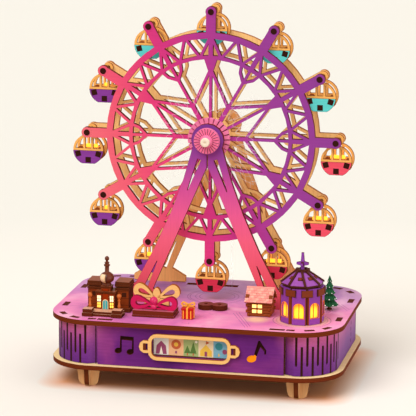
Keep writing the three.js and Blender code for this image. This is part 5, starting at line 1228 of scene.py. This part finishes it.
def buildTowerRoof(look):
    # eight sloping panels with a block in a dark slot, and ribs over the seams between them
    base, top, eave, tip = low("tower_roof")[2], high("tower_roof")[2], look["eave"], look["tip"]
    violet, dark, block = range(3)
    half, tipHalf = eave * math.tan(eighth / 2), tip * math.tan(eighth / 2)
    corner, tipCorner = eave / math.cos(eighth / 2), tip / math.cos(eighth / 2)
    foot = base + 1.0
    panel = [(sheetOf([[-half, -eave, foot], [half, -eave, foot], [tipHalf, -tip, top - 0.2],
                       [-tipHalf, -tip, top - 0.2]], -0.9), violet)]
    slope = np.array([0, eave - tip, top - foot])
    along = slope / np.linalg.norm(slope)
    centre = [0, -eave, foot] + slope * 0.45
    for width, length, thick, mark in ((1.4, 1.2, 0.22, dark), (1.008, 0.864, 0.3, block)):
        corners = [centre + [x, 0, 0] + along * z for x, z in rectangle(0, 0, 2 * width, 2 * length)]
        panel.append((sheetOf(corners, thick), mark))
    panel.append(boxOf(-half, half, -eave - 0.1, -eave + 1.2, base, base + 0.9, dark))
    rib = [(sheetOf([[-0.65, -corner - 0.2, foot - 0.3], [-0.65, -corner - 0.2, foot + 0.8],
                     [-0.65, -tipCorner, top + 0.6], [-0.65, -tipCorner, top - 0.8]], 1.3), dark),
           boardAt(0, 0.8, -tipCorner - 1.4, -tipCorner + 0.6, top - 0.6, top + 0.9, dark)]
    cap = slab(circlePoints(*towerCentre, 2.6, 24), top - 0.6, top - 0.05, "z")
    solids = roundTower(panel, rib, 0) + [(cap, dark)]
    buildPiece("towerRoofBoards", solids, [roofViolet, towerDark, blockPly], "base", "tower_roof")


buildTower(towerLook)
buildTowerRoof(towerLook)
print("tower built")

# Tree: tiers of branches whose edge is rippled, with snow on their tips, on a turned trunk

treeLook = {"tiers": 5, "branches": 13, "ripple": 0.16, "radius": 5.9, "trunk": 2.6}
needleGreen = plainMaterial("darkNeedleGreen", "#1d5232", 0.8, mottle=0.3, grain=0.8)
snowWhite = plainMaterial("snowPaint", "#e8efe6", 0.7)
trunkWood = plainMaterial("stainedTrunkBeech", "#5a2a12", 0.6)


def buildTree(look):
    # each tier is a rippled cone, smaller than the one below; snow lies on every second tip
    centre = np.array([*middle("tree")[:2], low("tree")[2]])
    trunk, tiers, branches = look["trunk"], look["tiers"], look["branches"]
    tier = (high("tree")[2] - centre[2] - trunk) / tiers
    green, snow, wood = range(3)
    solids = [(turned([[1.7, 0], [1.7, 0.5], [0.95, 0.8], [0.9, trunk + 1]], centre, "z", 24), wood)]
    for i in range(tiers):
        share = 1 - i / tiers * 0.92
        z, r = trunk + i * tier, look["radius"] * share
        rise = tier * 1.35 if i < tiers - 1 else tier
        profile = [[r * 0.5, z + 0.35], [r * 0.95, z], [r, z + 0.15], [r * 0.8, z + rise * 0.25],
                   [r * 0.45, z + rise * 0.65], [r * 0.12, z + rise]]
        solids.append((turned(profile, centre, "z", 66, branches, look["ripple"]), green))
        for j in range(1 - i % 2, branches, 2):
            angle = 2 * math.pi * j / branches
            tip = centre + [r * 0.86 * math.cos(angle), r * 0.86 * math.sin(angle), z + 0.55]
            solids.append((ball(tip, 0.42 * share + 0.12, 10), snow))
    buildPiece("firTree", solids, [needleGreen, snowWhite, trunkWood], "base", "tree")


buildTree(treeLook)

# Front panel: a board with the window and two notes cut through, and amber plastic behind one head

noteLook = {"head": (2.3, 1.8), "tilt": 0.3, "gap": 50, "single": (37.6, 9.0),
            "pair": ((-44.2, 9.2), (-36.8, 8.8)), "stem": 1.0, "singleHead": (3.0, 2.2), "beamTop": 18.5,
            "beam": 2.5, "thick": 3.0, "lensOut": 0.6,
            "flag": ((42.9, 16.6), (45.3, 14.2), (45.4, 12.3), (46.5, 12.2), (46.6, 14.8), (44.4, 18.0),
                     (42.7, 20.6), (41.6, 20.4)),
            "seam": 58.2, "slits": 6, "slitRise": (3.6, 3.7, 2.3), "slitY": 8.0, "slitAside": 0.7}
noteGlow = plainMaterial("amberNoteGlow", "#e88410", 0.5, emission="#ff8206", glow=0.3)


def headPart(centre, axes, look):
    # a note's head, a tilted ellipse, without the piece where its stem stands
    angle = np.linspace(math.radians(look["gap"]), 2 * math.pi, 26)
    return spun(np.stack([axes[0] * np.cos(angle), axes[1] * np.sin(angle)], axis=1), look["tilt"]) + centre


def buildPanel(look):
    # the window and the notes are holes in the board; each note is one outline of heads, stems and beam
    (x0, z0), (x1, y1, z1) = low("front_panel")[[0, 2]], high("front_panel")
    y0 = y1 - look["thick"]
    outline, window = [[[a[0], a[2]], [b[0], a[2]], [b[0], b[2]], [a[0], b[2]]]
                       for a, b in ((low("front_panel"), high("front_panel")), (paneLow, paneHigh))]
    single = np.concatenate([headPart(look["single"], look["singleHead"], look), look["flag"]]) + [0, z0]
    left, right = [headPart(centre, look["head"], look) for centre in look["pair"]]
    top, under, leftX, rightX = look["beamTop"], look["beamTop"] - look["beam"], left[-1, 0], right[-1, 0]
    pair = np.concatenate([left, [[leftX, under], [rightX - look["stem"], under - 0.2]], right,
                           [[rightX, top - 0.3], [leftX - look["stem"], top]]]) + [0, z0]
    lens = circlePoints(0, 0, 1, 30) * (np.array(look["singleHead"]) + look["lensOut"])
    lens = lens + look["single"] + [0, z0]
    solids = [(plateSkin(outline, [window, single, pair], y0, y1), 0), (slab(lens, y0 + 0.5, y0 + 0.9), 1)]
    # dark boards inside the box behind the note holes: painted shade for its dark inside
    solids += [boxOf(a, b, y0 + 2.2, y0 + 2.8, z0 + 6, z1 - 5, 2) for a, b in ((x0 + 8, -30), (30, x1 - 8))]
    buildPiece("frontPanelBoard", solids, [panelPly, noteGlow, tabEndAndShadeDark], "base", "front_panel")
    # the seam left of the panel as a dark strip, and the slits in the right end as dark strips of painted
    # shade
    wall, (start, step, tall) = high("right_end_wrap")[0], look["slitRise"]
    slits = [boardAt(-look["seam"], 0.2, y0 - 0.04, y0 + 1, z0 + 0.2, z1 - 0.2, 0, 0)]
    for i in range(look["slits"]):
        y, z = look["slitY"] + (i % 2) * look["slitAside"], z0 + start + i * step
        slits.append(boxOf(wall - 0.4, wall + 0.05, y, y + 1, z, z + tall, 0, 0))
    buildPiece("wallSeamAndSlitShade", slits, [tabEndAndShadeDark], "base")


buildPanel(noteLook)

# Slits at the corners: a strip of dark ply along each slit, bent with the wall; scorched edges in part, and
# in part painted shade inside the slit

scorchAndShadeLook = {"slits": 11, "width": 1.4, "height": 18.0, "proud": 0.05, "deep": 0.5, "below": 3.1}


def scorchAndShadeStrips(look):
    # equal steps round one corner, starting from the top and the bottom in turn, mirrored to all four
    wallLow, wallHigh, height = low("right_end_wrap")[2], deckTop - look["below"], look["height"]
    reach = look["width"] / 2 / cornerRadius
    solids = []
    for i in range(look["slits"]):
        angle = (i + 0.5) / look["slits"] * math.pi / 2
        outer, inner = [circlePoints(0, 0, cornerRadius + out, 4, angle - reach, angle + reach)
                        for out in (look["proud"], -look["deep"])]
        outline = np.concatenate([outer, inner[::-1]]) + cornerMiddle
        start = wallLow if i % 2 else wallHigh - height
        for x, y in ((1, 1), (-1, 1), (1, -1), (-1, -1)):
            mirrored = outline[::x * y] * [x, y] + [0, baseY]
            solids.append((slab(mirrored, start, start + height, "z", bevel=0), 0))
    buildPiece("hingeScorchAndShade", solids, [tabEndAndShadeDark], "base")


scorchAndShadeStrips(scorchAndShadeLook)

# Wall liners: dark board behind the corner slits, painted shade for the box's dark inside, following each
# wall round its two corners

shadeLinerLook = {"behind": 3.25, "thick": 0.5, "start": 60.0, "low": 0.6, "high": 0.6}


def shadeLinerPath(behind, look):
    # from the front panel's end round the front corner, along the end and round the rear corner
    (right, back), radius = high("right_end_wrap")[:2], cornerRadius - behind
    x, front, back = right - cornerRadius, low("right_end_wrap")[1] + cornerRadius, back - cornerRadius
    quarter = circlePoints(x, 0, radius, 12, 0, math.pi / 2)
    return np.concatenate([[[look["start"], front - radius]], quarter[::-1] * [1, -1] + [0, front],
                           quarter + [0, back], [[look["start"], back + radius]]])


def buildShadeLiners(look):
    # the space between two paths at two distances behind the wall, for the right end and mirrored
    outer, inner = [shadeLinerPath(look["behind"] + more, look) for more in (0, look["thick"])]
    outline = np.concatenate([outer, inner[::-1]])
    start, end = low("right_end_wrap")[2] + look["low"], high("right_end_wrap")[2] - look["high"]
    solids = [(slab(outline[::side] * [side, 1], start, end, "z", bevel=0), 0) for side in (1, -1)]
    buildPiece("wallShadeLiners", solids, [tabEndAndShadeDark], "base")


buildShadeLiners(shadeLinerLook)

# Deck engraving: fine plum lines that run from the log cabin to the front edge and round the tree

engravingLook = {"width": 0.28, "lift": 0.02, "deep": 0.1, "lines": (
    ((19.7, -28.8), (33.2, -60.9)), ((21.3, -27.8), (34.6, -59.6)), ((22.9, -26.9), (35.9, -58.3)),
    ((79.0, 6.0), (86.5, -7.5)), ((80.6, 7.2), (87.6, -5.4)), ((-43.0, 46.0), (-29.4, 38.7)),
    ((-6.0, -58.6), (-1.2, -60.4)), ((-1.2, -60.4), (-2.0, -56.8)), ((5.4, -33.6), (8.6, -35.2)),
    ((-76.0, -30.0), (-62.0, -4.0)), ((-74.6, -30.8), (-60.6, -4.8)))}
plumLine = plainMaterial("scorchedPlumLine", "#a45a98", 0.6)


def engraveDeck(look):
    # each line is a thin board half its width to both sides
    solids = []
    for start, end in np.array(look["lines"]):
        along = end - start
        across = np.array([-along[1], along[0]]) / np.linalg.norm(along) * look["width"] / 2
        outline = [start - across, end - across, end + across, start + across]
        solids.append((slab(outline, deckTop - look["deep"], deckTop + look["lift"], "z", bevel=0), 0))
    buildPiece("deckEngraving", solids, [plumLine], "base")


engraveDeck(engravingLook)

# Window tabs: scorched tab ends in the frame's two lugs

tabLook = {"in": 2.9, "half": 1.25, "tall": 2.2, "behind": 0.5}
tabPly = plainMaterial("scorchedLugTab", "#6e2c10", 0.6, specular=0.15)
(frameRight, frameBack), frameZ = high("window_frame")[:2], middle("window_frame")[2]
tabFront, tall = low("window_frame")[1] + tabLook["behind"], tabLook["tall"]
lugTabs = [boardAt(side * (frameRight - tabLook["in"]), tabLook["half"], tabFront, frameBack, frameZ - tall,
                   frameZ + tall, 0) for side in (-1, 1)]
buildPiece("lugTabs", lugTabs, [tabPly], "base")
print("deck dressed")

bpy.context.scene.view_settings.view_transform = "Standard"
